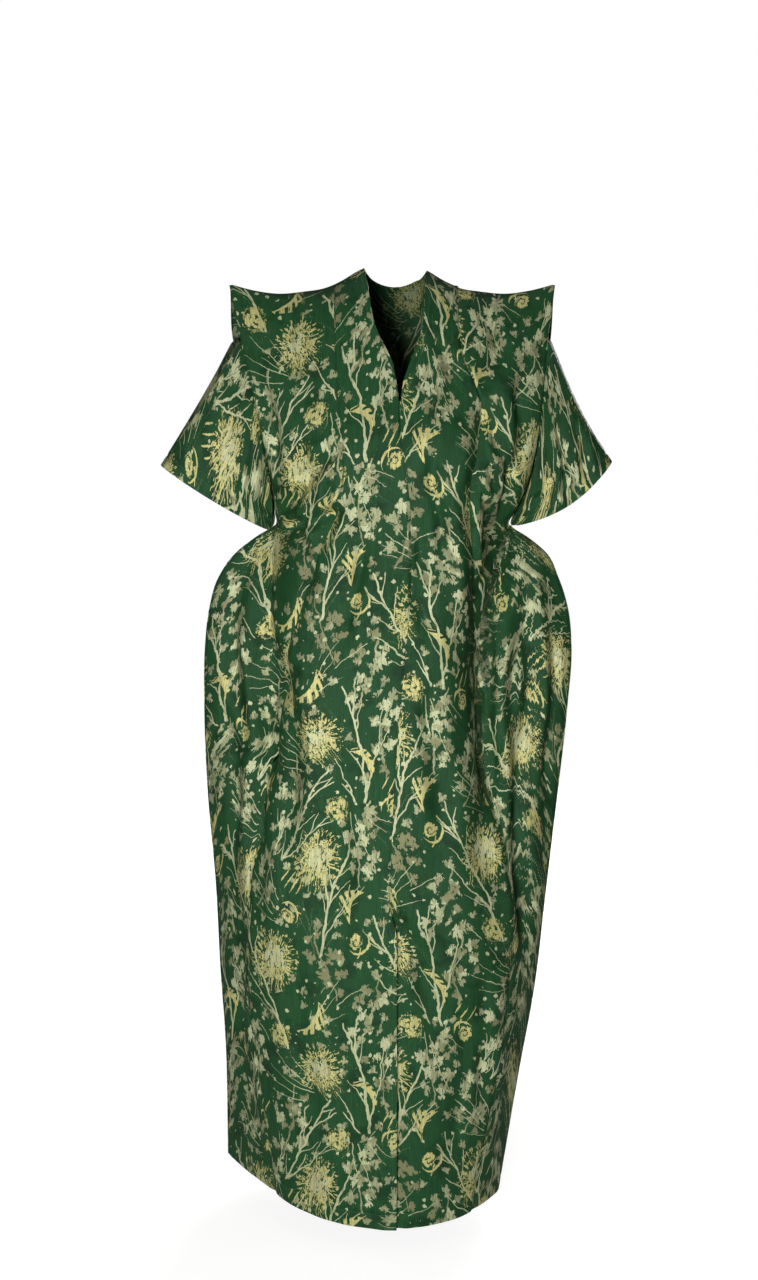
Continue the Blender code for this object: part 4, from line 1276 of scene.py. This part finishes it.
class Number:
    """A number of a shader that takes plain arithmetic: each step adds one Math node."""

    def __init__(self, tree, socket):
        self.tree = tree
        self.socket = socket

    def do(self, operation, *others):
        given = [each.socket if isinstance(each, Number) else each for each in (self, *others)]
        node = put(self.tree, "ShaderNodeMath", dict(enumerate(given)), operation=operation)
        return Number(self.tree, node.outputs[0])

    def __add__(self, other):
        return self.do("ADD", other)

    def __sub__(self, other):
        return self.do("SUBTRACT", other)

    def __mul__(self, other):
        return self.do("MULTIPLY", other)

    def __truediv__(self, other):
        return self.do("DIVIDE", other)

    def __neg__(self):
        return self * -1.0

    def __abs__(self):
        return self.do("ABSOLUTE")

    def sine(self):
        return self.do("SINE")

    def whole(self):
        return self.do("FLOOR")

    def rest(self):
        return self.do("FRACT")

    def most(self, other):
        return self.do("MAXIMUM", other)

    def under(self, limit):
        return self.do("LESS_THAN", limit)

    def over(self, limit):
        return self.do("GREATER_THAN", limit)

    def power(self, by):
        return self.do("POWER", by)

    def angle(self, across):
        return self.do("ARCTAN2", across)

    def far(self, other):
        """Length of the diagonal over this and the other."""
        return (self * self + other * other).do("SQRT")

    def step(self, low, high):
        """0 below low, 1 above high and a smooth step between, also where low is the larger."""
        inputs = {"Value": self.socket, "From Min": low, "From Max": high, "To Min": 0.0, "To Max": 1.0}
        node = put(self.tree, "ShaderNodeMapRange", inputs, interpolation_type="SMOOTHSTEP")
        return Number(self.tree, node.outputs["Result"])


def plain(value):
    return value.socket if isinstance(value, Number) else value


def vector(tree, x, y, z=0.0):
    inputs = {"X": plain(x), "Y": plain(y), "Z": plain(z)}
    return put(tree, "ShaderNodeCombineXYZ", inputs).outputs["Vector"]


def split(tree, socket):
    """The three numbers of a vector."""
    node = put(tree, "ShaderNodeSeparateXYZ", {"Vector": socket})
    return [Number(tree, node.outputs[name]) for name in "XYZ"]


def chance(tree, x, y):
    """A number from 0 to 1 that looks random, the same wherever x and y are the same."""
    inputs = {"Vector": vector(tree, x, y)}
    node = put(tree, "ShaderNodeTexWhiteNoise", inputs, noise_dimensions="2D")
    return Number(tree, node.outputs["Value"])


def mixed(tree, factor, first, second):
    """A colour mixed from two by a factor."""
    inputs = {"Factor": plain(factor), 6: first, 7: second}
    return put(tree, "ShaderNodeMix", inputs, data_type="RGBA").outputs[2]


def noise(tree, place, scale, detail=2.0, roughness=0.5):
    inputs = {"Vector": place, "Scale": scale, "Detail": detail, "Roughness": roughness}
    return Number(tree, put(tree, "ShaderNodeTexNoise", inputs).outputs["Fac"])


def stretched(tree, place, scale):
    """The place on the cloth, stretched along one way."""
    return put(tree, "ShaderNodeMapping", {"Vector": place, "Scale": scale}).outputs["Vector"]


def motif_group(name, outputs, build):
    """A group that turns a place in a motif's own frame and a seed into masks, made once."""
    if name not in bpy.data.node_groups:
        inputs = (("Across", "float"), ("Down", "float"), ("Seed", "float"), ("Edge", "float"))
        group, given, made = new_group(name, inputs, [(label, "float") for label in outputs])
        x, y, seed, edge = [Number(group, given.outputs[label]) for label, _ in inputs]
        for label, value in zip(outputs, build(group, x, y, seed, edge)):
            group.links.new(value.socket, made.inputs[label])
    return bpy.data.node_groups[name]


def ball_masks(tree, x, y, seed, edge):
    """A ball of scribbled petals: a dull mass that breaks up outwards, scalloped rings of thin strands, hairs
    that stick out past the rim, and strands that hang below."""
    low = y + BALL_RAISE
    far = x.far(low)
    turn = low.angle(x)
    band = far * BALL_RINGS + edge * 3.0 + seed * 3.0
    ring = band.whole()
    up = band.rest()
    scallop = abs((turn * (ring * 0.5 + 2.0) + ring * 1.9 + seed * 40.0).sine())
    tip = scallop * 0.62 + 0.22
    strand = abs(up - tip).under(BALL_STRAND)
    kept = chance(tree, ring, (turn * 1.6 + ring).whole()).over(0.20)
    hair_place = vector(tree, turn * 3.6, far * 3.0, seed * 9.0)
    hairs = noise(tree, hair_place, 3.0, 2.0, 0.6).over(far * 0.20 + 0.50)
    within = (far + edge * 0.22).under(BALL_RADIUS)
    reach = (far + edge * 0.40).under(BALL_RADIUS * 1.35)
    strands = (strand * kept * within).most(hairs * reach * (far + edge * 0.4).over(0.16))
    streaks = noise(tree, vector(tree, x * 20.0, low * 8.0, seed * 9.0), 1.0, 2.0, 0.6)
    fill = streaks.over(far * 1.30 + 0.33) * within
    lane = x * 26.0 + edge * 2.0 + (low * 9.0).sine() * 0.35
    depth = chance(tree, lane.whole(), seed) * 0.42 + 0.10
    drip = abs(lane.rest() - 0.5).under(0.14) * low.over(0.10) * low.under(depth)
    drip = drip * abs(x).under(0.22)
    return strands.most(drip), fill


def blossom_shape(tree, place, edge):
    """Blossoms of three to five ragged lobes, one in each random cell. Gives their mask, the cell's middle and
    two of its random numbers."""
    cells = put(tree, "ShaderNodeTexVoronoi", {"Vector": place, "Scale": 1.0}, voronoi_dimensions="2D")
    here_x, here_y, _ = split(tree, place)
    middle_x, middle_y, _ = split(tree, cells.outputs["Position"])
    red, green, _ = split(tree, cells.outputs["Color"])
    dx, dy = here_x - middle_x, here_y - middle_y
    far = dx.far(dy)
    count = (green * 2.99).whole() * 0.5 + 1.5
    lobes = abs((dy.angle(dx) * count + red * 6.0).sine())
    reach = (lobes * 0.24 + 0.20) * (green * 0.60 + 0.70)
    mask = (far + edge * 1.05).under(reach)
    return mask, middle_x, middle_y, red, green


def cluster_masks(tree, x, y, seed, edge):
    """A spray of lobed blossoms: those whose middle lies in the spray's spindle, and a bent stem behind them.
    Some of them are bright."""
    bent = x + (y * 5.0 + seed * 20.0).sine() * 0.05
    place = vector(tree, bent * CELLS_ACROSS + seed * 31.0, y * CELLS_DOWN)
    petals, middle_x, middle_y, red, _ = blossom_shape(tree, place, edge)
    cell_x = (middle_x - seed * 31.0) / CELLS_ACROSS
    cell_y = middle_y / CELLS_DOWN
    spindle = (cell_x * 4.0).far(cell_y * 2.15) + red * 0.32
    stem = abs(bent - edge * 0.02).under(0.009) * abs(y).under(0.46)
    petals = petals * spindle.under(1.0)
    return petals.most(stem), petals * red.over(BRIGHT_FROM)


def rosette_masks(tree, x, y, seed, edge):
    """A rosette of nested bowed petals: rings of three wide arcs, each ring turned on from the last."""
    far = x.far(y)
    band = far * 6.0 + edge * 2.4
    ring = band.whole()
    arcs = abs((y.angle(x) * 1.5 + ring * 2.0 + seed * 30.0 + far * 5.0).sine())
    petals = band.rest().under(arcs * 0.80 + 0.16) * (far + edge * 0.55).under(0.36)
    return (petals,)


def curl_masks(tree, x, y, seed, edge):
    """A curl: a thin open loop round one half, and a ragged heart with a few swirled gaps."""
    far = x.far(y)
    turn = y.angle(x)
    width = (turn + 1.2).sine().most(0.0) * 0.045
    loop = abs(far - 0.40 - turn * 0.018 + edge * 0.10).under(width)
    heart_far = (x * 1.25 + 0.07).far(y - 0.04)
    swirl = (heart_far * 27.0 + turn + seed * 30.0 + edge * 9.0).sine().over(-0.72)
    heart = swirl * (heart_far + edge * 0.42).under(0.27)
    tail = abs(x - 0.16 - (y * 4.0).sine() * 0.12).under(0.020) * y.over(0.1) * y.under(0.5)
    return (loop.most(heart).most(tail),)


def fern_masks(tree, x, y, seed, edge):
    """A curled feather: a bowed body, whole on one side and split into long fingers on the other."""
    bowed = x + y * y * 1.1 - 0.16 + edge * 0.06
    finger = (y * 5.0 - bowed * 4.0 + seed * 6.0).rest()
    length = (y * 2.7).do("COSINE").most(0.0) * (chance(tree, (y * 5.0).whole(), seed) * 0.16 + 0.20)
    fingers = bowed.over(-0.02) * bowed.under(length) * (finger + edge * 0.5).under(0.56)
    body = abs(bowed + 0.03).under((y * 3.0).do("COSINE").most(0.0) * 0.055)
    return (fingers.most(body) * abs(y).under(0.5),)


def twig_masks(tree, along, aside, pitch, slope, thick, seed, keep):
    """Twigs off a stem at every pitch, to both sides, straight and thinning to their tips. Gives their mask
    and the place along and beside a twig, for twigs of its own."""
    side = aside.over(0.0)
    cells = along / pitch + side * 0.45 + seed * 7.0
    up = -(cells.rest()) + 1.0
    beside = abs(aside) - up * (pitch * slope)
    there = chance(tree, cells.whole(), side + seed * 11.0).over(keep)
    mask = abs(beside).under(-(up * thick * 0.6) + thick) * there
    return mask, up * pitch, beside, there


def branch_masks(tree, x, y, seed, edge):
    """A forked bough: a long wavy stem that thins to its tip, with long twigs to both sides that fork."""
    bent = x + (y * 7.0 + seed * 40.0).sine() * 0.020 + edge * BOUGH_RAGGED
    stem = abs(bent).under(y * 0.0040 + 0.0062)
    long_twigs, along, beside, there = twig_masks(tree, y, bent, 0.40, 0.40, 0.0058, seed, 0.25)
    forks, _, _, _ = twig_masks(tree, -along, beside, 0.13, 0.42, 0.0040, seed + 0.3, 0.50)
    short_twigs, _, _, _ = twig_masks(tree, y, bent, 0.15, 0.55, 0.0042, seed + 0.6, 0.66)
    mask = stem.most(long_twigs).most(forks * there).most(short_twigs)
    return (mask * abs(y).under(0.48),)


def slash_masks(tree, x, y, seed, edge):
    """A group of parallel slashes of uneven length, thin at both ends."""
    lane = x * 5.0 + seed * 9.0
    long = chance(tree, lane.whole(), seed) * 0.30 + 0.10
    moved = y + chance(tree, lane.whole(), seed + 5.0) * 0.4 - 0.2
    thin = -(moved / long).power(2.0) + 1.0
    mask = abs(lane.rest() - 0.5 + edge * 0.3).under(thin * 0.11)
    return (mask * abs(x).under(0.44),)


def wisp_masks(tree, x, y, seed, edge):
    """A fan of hair-thin bowed strokes of uneven length from one root."""
    down = -y + 0.45
    far = x.far(down)
    fan = x.angle(down) + far * (seed - 0.5) * 0.9 + edge * 0.03
    lane = fan * 6.0
    long = chance(tree, lane.whole(), seed) * 0.90 + 0.08
    start = chance(tree, lane.whole(), seed + 3.0) * 0.3 + 0.05
    aside = lane.rest() - chance(tree, lane.whole(), seed + 6.0) * 0.5 - 0.25
    thick = (-(far / long) + 1.0) * 0.0034 + 0.0014
    mask = (abs(aside) * far / 6.0).under(thick) * far.under(long) * far.over(start)
    return (mask * abs(fan).under(0.62),)


def layer_masks(tree, layer, wobble, edge):
    """The masks of every kind of motif in one layer: each point asks for the kind that it belongs to."""
    at = put(tree, "ShaderNodeAttribute", attribute_name=layer).outputs["Vector"]
    room = put(tree, "ShaderNodeAttribute", attribute_name=layer + "_room").outputs["Fac"]
    x, y, code = split(tree, at)
    clear = Number(tree, room).step(*MOTIF_ROOM)
    seed = code.rest()
    x = x + wobble[0] * MOTIF_WOBBLE[layer]
    y = y + wobble[1] * MOTIF_WOBBLE[layer]
    masks = {}
    for number, kind in enumerate(MOTIF_KINDS[layer]):
        outputs, build = MOTIF_SHADERS[kind]
        group = motif_group("Motif " + kind, outputs, build)
        inputs = {"Across": x.socket, "Down": y.socket, "Seed": seed.socket, "Edge": edge.socket}
        node = add_group(tree, group, inputs)
        mine = abs(code - (number + 0.5)).under(0.5) * clear
        for label in outputs:
            masks[label] = mine * Number(tree, node.outputs[label])
    masks["seed"] = seed
    return masks


MOTIF_SHADERS = {
    "ball": (("Strands", "Fill"), ball_masks),
    "cluster": (("Blossoms", "Bright"), cluster_masks),
    "curl": (("Curl",), curl_masks),
    "fern": (("Leaf",), fern_masks),
    "rosette": (("Petals",), rosette_masks),
    "branch": (("Bough",), branch_masks),
    "slashes": (("Slashes",), slash_masks),
    "wisps": (("Wisps",), wisp_masks),
}


def rib_group():
    """Height and shade of the ribbed weave: narrow ribs along the length, uneven streaks and slubs."""
    if "Ribbed weave" in bpy.data.node_groups:
        return bpy.data.node_groups["Ribbed weave"]
    outputs = (("Height", "float"), ("Shade", "float"))
    group, given, made = new_group("Ribbed weave", (("Place", "vector"), ("Pitch", "float")), outputs)
    place = given.outputs["Place"]
    pitch = Number(group, given.outputs["Pitch"])
    across = split(group, place)[0] + noise(group, place, 60.0) * 0.0008
    ribs = (across * (2 * np.pi) / pitch).sine()
    streaks = noise(group, stretched(group, place, (1.0, 0.045, 1.0)), 520.0, 2.0, 0.6)
    slubs = noise(group, stretched(group, place, (0.3, 1.0, 1.0)), 900.0, 1.0, 0.5)
    height = ribs * 0.3 + streaks * 0.9 + slubs
    shade = streaks * 0.7 + slubs * 0.3
    group.links.new(height.socket, made.inputs["Height"])
    group.links.new(shade.socket, made.inputs["Shade"])
    return group


def add_group(tree, group, inputs):
    node = put(tree, "ShaderNodeGroup", node_tree=group)
    for socket, value in inputs.items():
        if isinstance(value, bpy.types.NodeSocket):
            tree.links.new(value, node.inputs[socket])
        else:
            node.inputs[socket].default_value = value
    return node


def new_material(name):
    material = bpy.data.materials.new(name)
    material.use_nodes = True
    tree = material.node_tree
    return material, tree, tree.nodes["Principled BSDF"]


def shaded(tree, shade, low, high, colour, dark):
    """A colour that the weave's shade darkens."""
    return mixed(tree, shade.step(low, high), [dark * c for c in colour] + [1.0], [*colour, 1.0])


def brocade_material():
    """Ribbed satin ground with the figure woven over it: dull sprays first, then pale boughs, and bright
    gold on top. The wrong side shows the same cloth duller and darker."""
    if "Brocade" in bpy.data.materials:
        return bpy.data.materials["Brocade"]
    material, tree, shader = new_material("Brocade")
    place = put(tree, "ShaderNodeUVMap", uv_map="cloth").outputs["UV"]
    ribs = add_group(tree, rib_group(), {"Place": place, "Pitch": RIB_PITCH})
    shade = Number(tree, ribs.outputs["Shade"])
    inside = Number(tree, put(tree, "ShaderNodeAttribute", attribute_name="inside").outputs["Fac"])
    bend = put(tree, "ShaderNodeTexNoise", {"Vector": place, "Scale": BEND_SCALE, "Detail": 2.0})
    wobble = [part - 0.5 for part in split(tree, bend.outputs["Color"])[:2]]
    ragged = noise(tree, stretched(tree, place, (1.0, 0.6, 1.0)), RAGGED_SCALE, 3.0, 0.7) - 0.5
    bloom = layer_masks(tree, "bloom", wobble, ragged)
    bough = layer_masks(tree, "bough", wobble, ragged)
    dots = put(tree, "ShaderNodeTexVoronoi", {"Vector": place, "Scale": SPECK_SCALE}, voronoi_dimensions="2D")
    size = split(tree, dots.outputs["Color"])[0]
    specks = (Number(tree, dots.outputs["Distance"]) + ragged * 0.55).under((size - 0.60) * 0.50)
    worn = noise(tree, stretched(tree, place, (1.0, 0.16, 1.0)), WORN_SCALE, 2.0, 0.6).over(WORN_SHARE)
    spread = stretched(tree, place, (FLAKE_SCALE, FLAKE_SCALE, FLAKE_SCALE))
    flakes, _, _, _, flake_draw = blossom_shape(tree, spread, ragged)
    flakes = flakes * flake_draw.under(FLAKE_SHARE)
    tone = noise(tree, place, TONE_SCALE, 2.0, 0.5)

    green = colours().green
    cloudy = noise(tree, place, CLOUD_SCALE, 4.0, 0.62)
    ground = shaded(tree, shade, 0.25, 0.75, [1.3 * c for c in green], 0.55)
    ground = mixed(tree, cloudy.step(*CLOUD_STEP) * 0.7, ground, [0.45 * c for c in green] + [1.0])
    champagne = shaded(tree, shade, 0.30, 0.66, colours().champagne, 0.50)
    pale = shaded(tree, shade, 0.28, 0.60, colours().pale, 0.60)
    gold = shaded(tree, shade, 0.28, 0.62, colours().gold, 0.50)
    dim = [0.40 * g + 0.34 * c * w for g, c, w in zip(green, colours().gold, DIM_WARMTH)] + [1.0]
    faded = bloom["seed"].under(FADED_SHARE)
    champagne = mixed(tree, tone.step(*DIM_STEP), dim, champagne)
    strokes = noise(tree, stretched(tree, place, (1.0, 0.45, 1.0)), STROKE_SCALE, 3.0, 0.65)
    champagne = mixed(tree, strokes.step(*CHAMPAGNE_STROKES) * 0.75, champagne, dim)
    pale = mixed(tree, strokes.step(*PALE_STROKES) * 0.60, pale, dim)
    sprays = bloom["Blossoms"] * worn
    colour = mixed(tree, sprays * faded, ground, dim)
    colour = mixed(tree, (sprays * (-faded + 1.0)).most(flakes * worn), colour, champagne)
    colour = mixed(tree, bloom["Fill"] * worn, colour, pale)
    bright = (bloom["Leaf"].most(bloom["Petals"]) * worn).most(bloom["Strands"]).most(bloom["Curl"])
    lit = bloom["Bright"] * worn * (-faded + 1.0) * tone.over(LIT_FROM)
    boughs = bough["Bough"].most(bough["Wisps"]).most(specks).most(lit)
    colour = mixed(tree, boughs, colour, pale)
    bright = bright.most(bough["Slashes"])
    colour = mixed(tree, bright, colour, gold)
    wrong = mixed(tree, 0.65, colour, [0.5 * c for c in green] + [1.0])
    colour = mixed(tree, inside, colour, wrong)
    figured = sprays.most(flakes).most(bloom["Fill"]).most(boughs).most(bright)
    metal = figured * (-inside + 1.0) * FIGURE_METAL
    rough = figured * -0.10 + (shade * 0.20 + 0.44)
    height = Number(tree, ribs.outputs["Height"])
    bump = put(tree, "ShaderNodeBump", {"Strength": 0.6, "Distance": 0.0006, "Height": height.socket})
    tree.links.new(colour, shader.inputs["Base Color"])
    tree.links.new(metal.socket, shader.inputs["Metallic"])
    tree.links.new(rough.socket, shader.inputs["Roughness"])
    tree.links.new(bump.outputs["Normal"], shader.inputs["Normal"])
    shader.inputs["Specular IOR Level"].default_value = BROCADE_SPECULAR
    return material


def thread_material():
    """Green sewing thread with a twist: painted light and shade in bands across its length that follow the
    twist, and a little noise in its colour.
    """
    if "Sewing thread" in bpy.data.materials:
        return bpy.data.materials["Sewing thread"]
    material, tree, shader = new_material("Sewing thread")
    place = put(tree, "ShaderNodeTexCoord").outputs["Object"]
    grain = noise(tree, place, 900.0, 2.0, 0.6)
    colour = list(colours().thread)
    twist = put(tree, "ShaderNodeTexWave", {"Vector": place, "Scale": 900.0, "Distortion": 1.0}).outputs["Fac"]
    # Painted light and shade: the twist's bands darken and lighten the thread's colour in step with its bump.
    # The grain noise is the thread's own uneven tone.
    shade = Number(tree, twist) * 0.6 + grain * 0.4
    mix = mixed(tree, shade, [0.6 * c for c in colour] + [1.0], [1.5 * c for c in colour] + [1.0])
    bump = put(tree, "ShaderNodeBump", {"Strength": 0.4, "Distance": 0.0002, "Height": twist})
    tree.links.new(mix, shader.inputs["Base Color"])
    tree.links.new(bump.outputs["Normal"], shader.inputs["Normal"])
    shader.inputs["Roughness"].default_value = 0.5
    shader.inputs["Sheen Weight"].default_value = 0.2
    return material


def floor_material():
    """Matt pale paint, very slightly uneven. It glows to the camera as painted light: away from the robe as
    bright as the surroundings, and less near it, which paints a soft shade round the robe's foot.
    """
    material, tree, shader = new_material("Pale floor")
    place = put(tree, "ShaderNodeTexCoord").outputs["Object"]
    cloudy = noise(tree, place, 3.0, 4.0, 0.6)
    colour = list(colours().floor)
    mix = mixed(tree, cloudy, [0.97 * c for c in colour] + [1.0], colour + [1.0])
    # Painted light: the floor glows only to the camera, and less near the robe, which paints a darker pool
    # round the robe's foot.
    seen = Number(tree, put(tree, "ShaderNodeLightPath").outputs["Is Camera Ray"])
    x, y, _ = split(tree, place)
    glow = x.far(y).step(*FLOOR_NEAR) * (FLOOR_GLOW[1] - FLOOR_GLOW[0]) + FLOOR_GLOW[0]
    tree.links.new(mix, shader.inputs["Base Color"])
    tree.links.new((seen * glow).socket, shader.inputs["Emission Strength"])
    shader.inputs["Emission Color"].default_value = (1.0, 1.0, 1.0, 1.0)
    shader.inputs["Roughness"].default_value = 0.85
    return material


def floor_shape():
    """A large flat square just below the hem, in even cells."""
    side = np.linspace(-FLOOR_SIZE / 2, FLOOR_SIZE / 2, FLOOR_CELLS + 1)
    x, y = np.meshgrid(side, side)
    z = np.full_like(x, -(HEM + FLOOR_DROP))
    index = np.arange(x.size).reshape(x.shape)
    quads = np.stack([index[:-1, :-1], index[:-1, 1:], index[1:, 1:], index[1:, :-1]], axis=-1).reshape(-1, 4)
    return fill_mesh("floor_square", np.stack([x, y, z], axis=-1).reshape(-1, 3), [quads])


def add_light(name, place, size, power):
    """A soft square light that looks at the middle of the robe."""
    light = bpy.data.lights.new(name, "AREA")
    light.energy = power
    light.size = size
    lamp = bpy.data.objects.new(name, light)
    bpy.context.scene.collection.objects.link(lamp)
    lamp.location = place
    lamp.rotation_euler = (Vector(LIGHT_TARGET) - Vector(place)).to_track_quat("-Z", "Y").to_euler()


def add_camera():
    camera = bpy.data.cameras.new("camera")
    camera.lens = CAMERA_LENS
    camera.sensor_width = SENSOR_WIDTH
    stand = bpy.data.objects.new("camera", camera)
    bpy.context.scene.collection.objects.link(stand)
    stand.location = CAMERA_PLACE
    stand.rotation_euler = (np.radians(90.0 - CAMERA_DOWN), 0.0, 0.0)
    bpy.context.scene.camera = stand


def add_world():
    """Plain surroundings that light the robe evenly, and look white behind it."""
    world = bpy.data.worlds.new("studio")
    world.use_nodes = True
    tree = world.node_tree
    sky = tree.nodes["Background"]
    seen = Number(tree, put(tree, "ShaderNodeLightPath").outputs["Is Camera Ray"])
    sky.inputs["Color"].default_value = (1.0, 1.0, 1.0, 1.0)
    tree.links.new((seen * (WORLD_SEEN - WORLD_GLOW) + WORLD_GLOW).socket, sky.inputs["Strength"])
    bpy.context.scene.world = world
    bpy.context.scene.view_settings.view_transform = "Standard"


class ROBE_OT_stage(bpy.types.Operator):
    """Sets up the floor, the soft lights, the surroundings and the camera"""

    bl_idname = "robe.stage"
    bl_label = "Stage"

    def execute(self, context):
        floor_mesh = floor_shape()
        floor_mesh.materials.append(floor_material())
        floor = bpy.data.objects.new("floor", floor_mesh)
        context.scene.collection.objects.link(floor)
        floor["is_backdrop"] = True
        for name, place, size, power in LIGHTS:
            add_light(name, place, size, power)
        add_world()
        add_camera()
        return {"FINISHED"}


class ROBE_OT_back(bpy.types.Operator):
    """Builds the back of the robe"""

    bl_idname = "robe.back"
    bl_label = "Back"

    def execute(self, context):
        back_panel(brocade_material())
        return {"FINISHED"}


class ROBE_OT_front_sides(bpy.types.Operator):
    """Builds the side fronts, out to the armholes and the side seams"""

    bl_idname = "robe.front_sides"
    bl_label = "Side fronts"

    def execute(self, context):
        for side in SIDES:
            front_side(side, brocade_material())
        return {"FINISHED"}


class ROBE_OT_front_centres(bpy.types.Operator):
    """Builds the centre fronts, lapped over each other in the slit"""

    bl_idname = "robe.front_centres"
    bl_label = "Centre fronts"

    def execute(self, context):
        for side in SIDES:
            front_centre(side, brocade_material())
        return {"FINISHED"}


class ROBE_OT_sleeves(bpy.types.Operator):
    """Builds the short flared sleeves"""

    bl_idname = "robe.sleeves"
    bl_label = "Sleeves"

    def execute(self, context):
        for side in SIDES:
            sleeve(side, brocade_material())
        return {"FINISHED"}


class ROBE_OT_facings(bpy.types.Operator):
    """Builds the facings turned in along the neck"""

    bl_idname = "robe.facings"
    bl_label = "Neck facings"

    def execute(self, context):
        for side in SIDES:
            neck_facing(side, brocade_material())
        return {"FINISHED"}


OPERATORS = (
    ROBE_OT_stage,
    ROBE_OT_back,
    ROBE_OT_front_sides,
    ROBE_OT_front_centres,
    ROBE_OT_sleeves,
    ROBE_OT_facings,
)


class ROBE_PT_panel(bpy.types.Panel):
    """Lists the sizes, the colours and the pieces of the robe"""

    bl_idname = "ROBE_PT_panel"
    bl_label = "Brocade Robe"
    bl_space_type = "VIEW_3D"
    bl_region_type = "UI"
    bl_category = "Robe"

    def draw(self, context):
        for group in (context.scene.robe_sizes, context.scene.robe_colours):
            for name in type(group).__annotations__:
                self.layout.prop(group, name)
        for operator in OPERATORS:
            self.layout.operator(operator.bl_idname)


CLASSES = (RobeSizes, RobeColours, *OPERATORS, ROBE_PT_panel)


def register():
    for each in CLASSES:
        bpy.utils.register_class(each)
    bpy.types.Scene.robe_sizes = PointerProperty(type=RobeSizes)
    bpy.types.Scene.robe_colours = PointerProperty(type=RobeColours)


def unregister():
    del bpy.types.Scene.robe_colours
    del bpy.types.Scene.robe_sizes
    for each in reversed(CLASSES):
        bpy.utils.unregister_class(each)


def corners():
    """The shown object's lowest and highest corners as plain lists."""
    return [list(corner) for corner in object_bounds()]


def main():
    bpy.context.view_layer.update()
    register()
    for name in ("stage", "back", "front_sides", "front_centres", "sleeves", "facings"):
        getattr(bpy.ops.robe, name)()


if __name__ == "__main__":
    main()
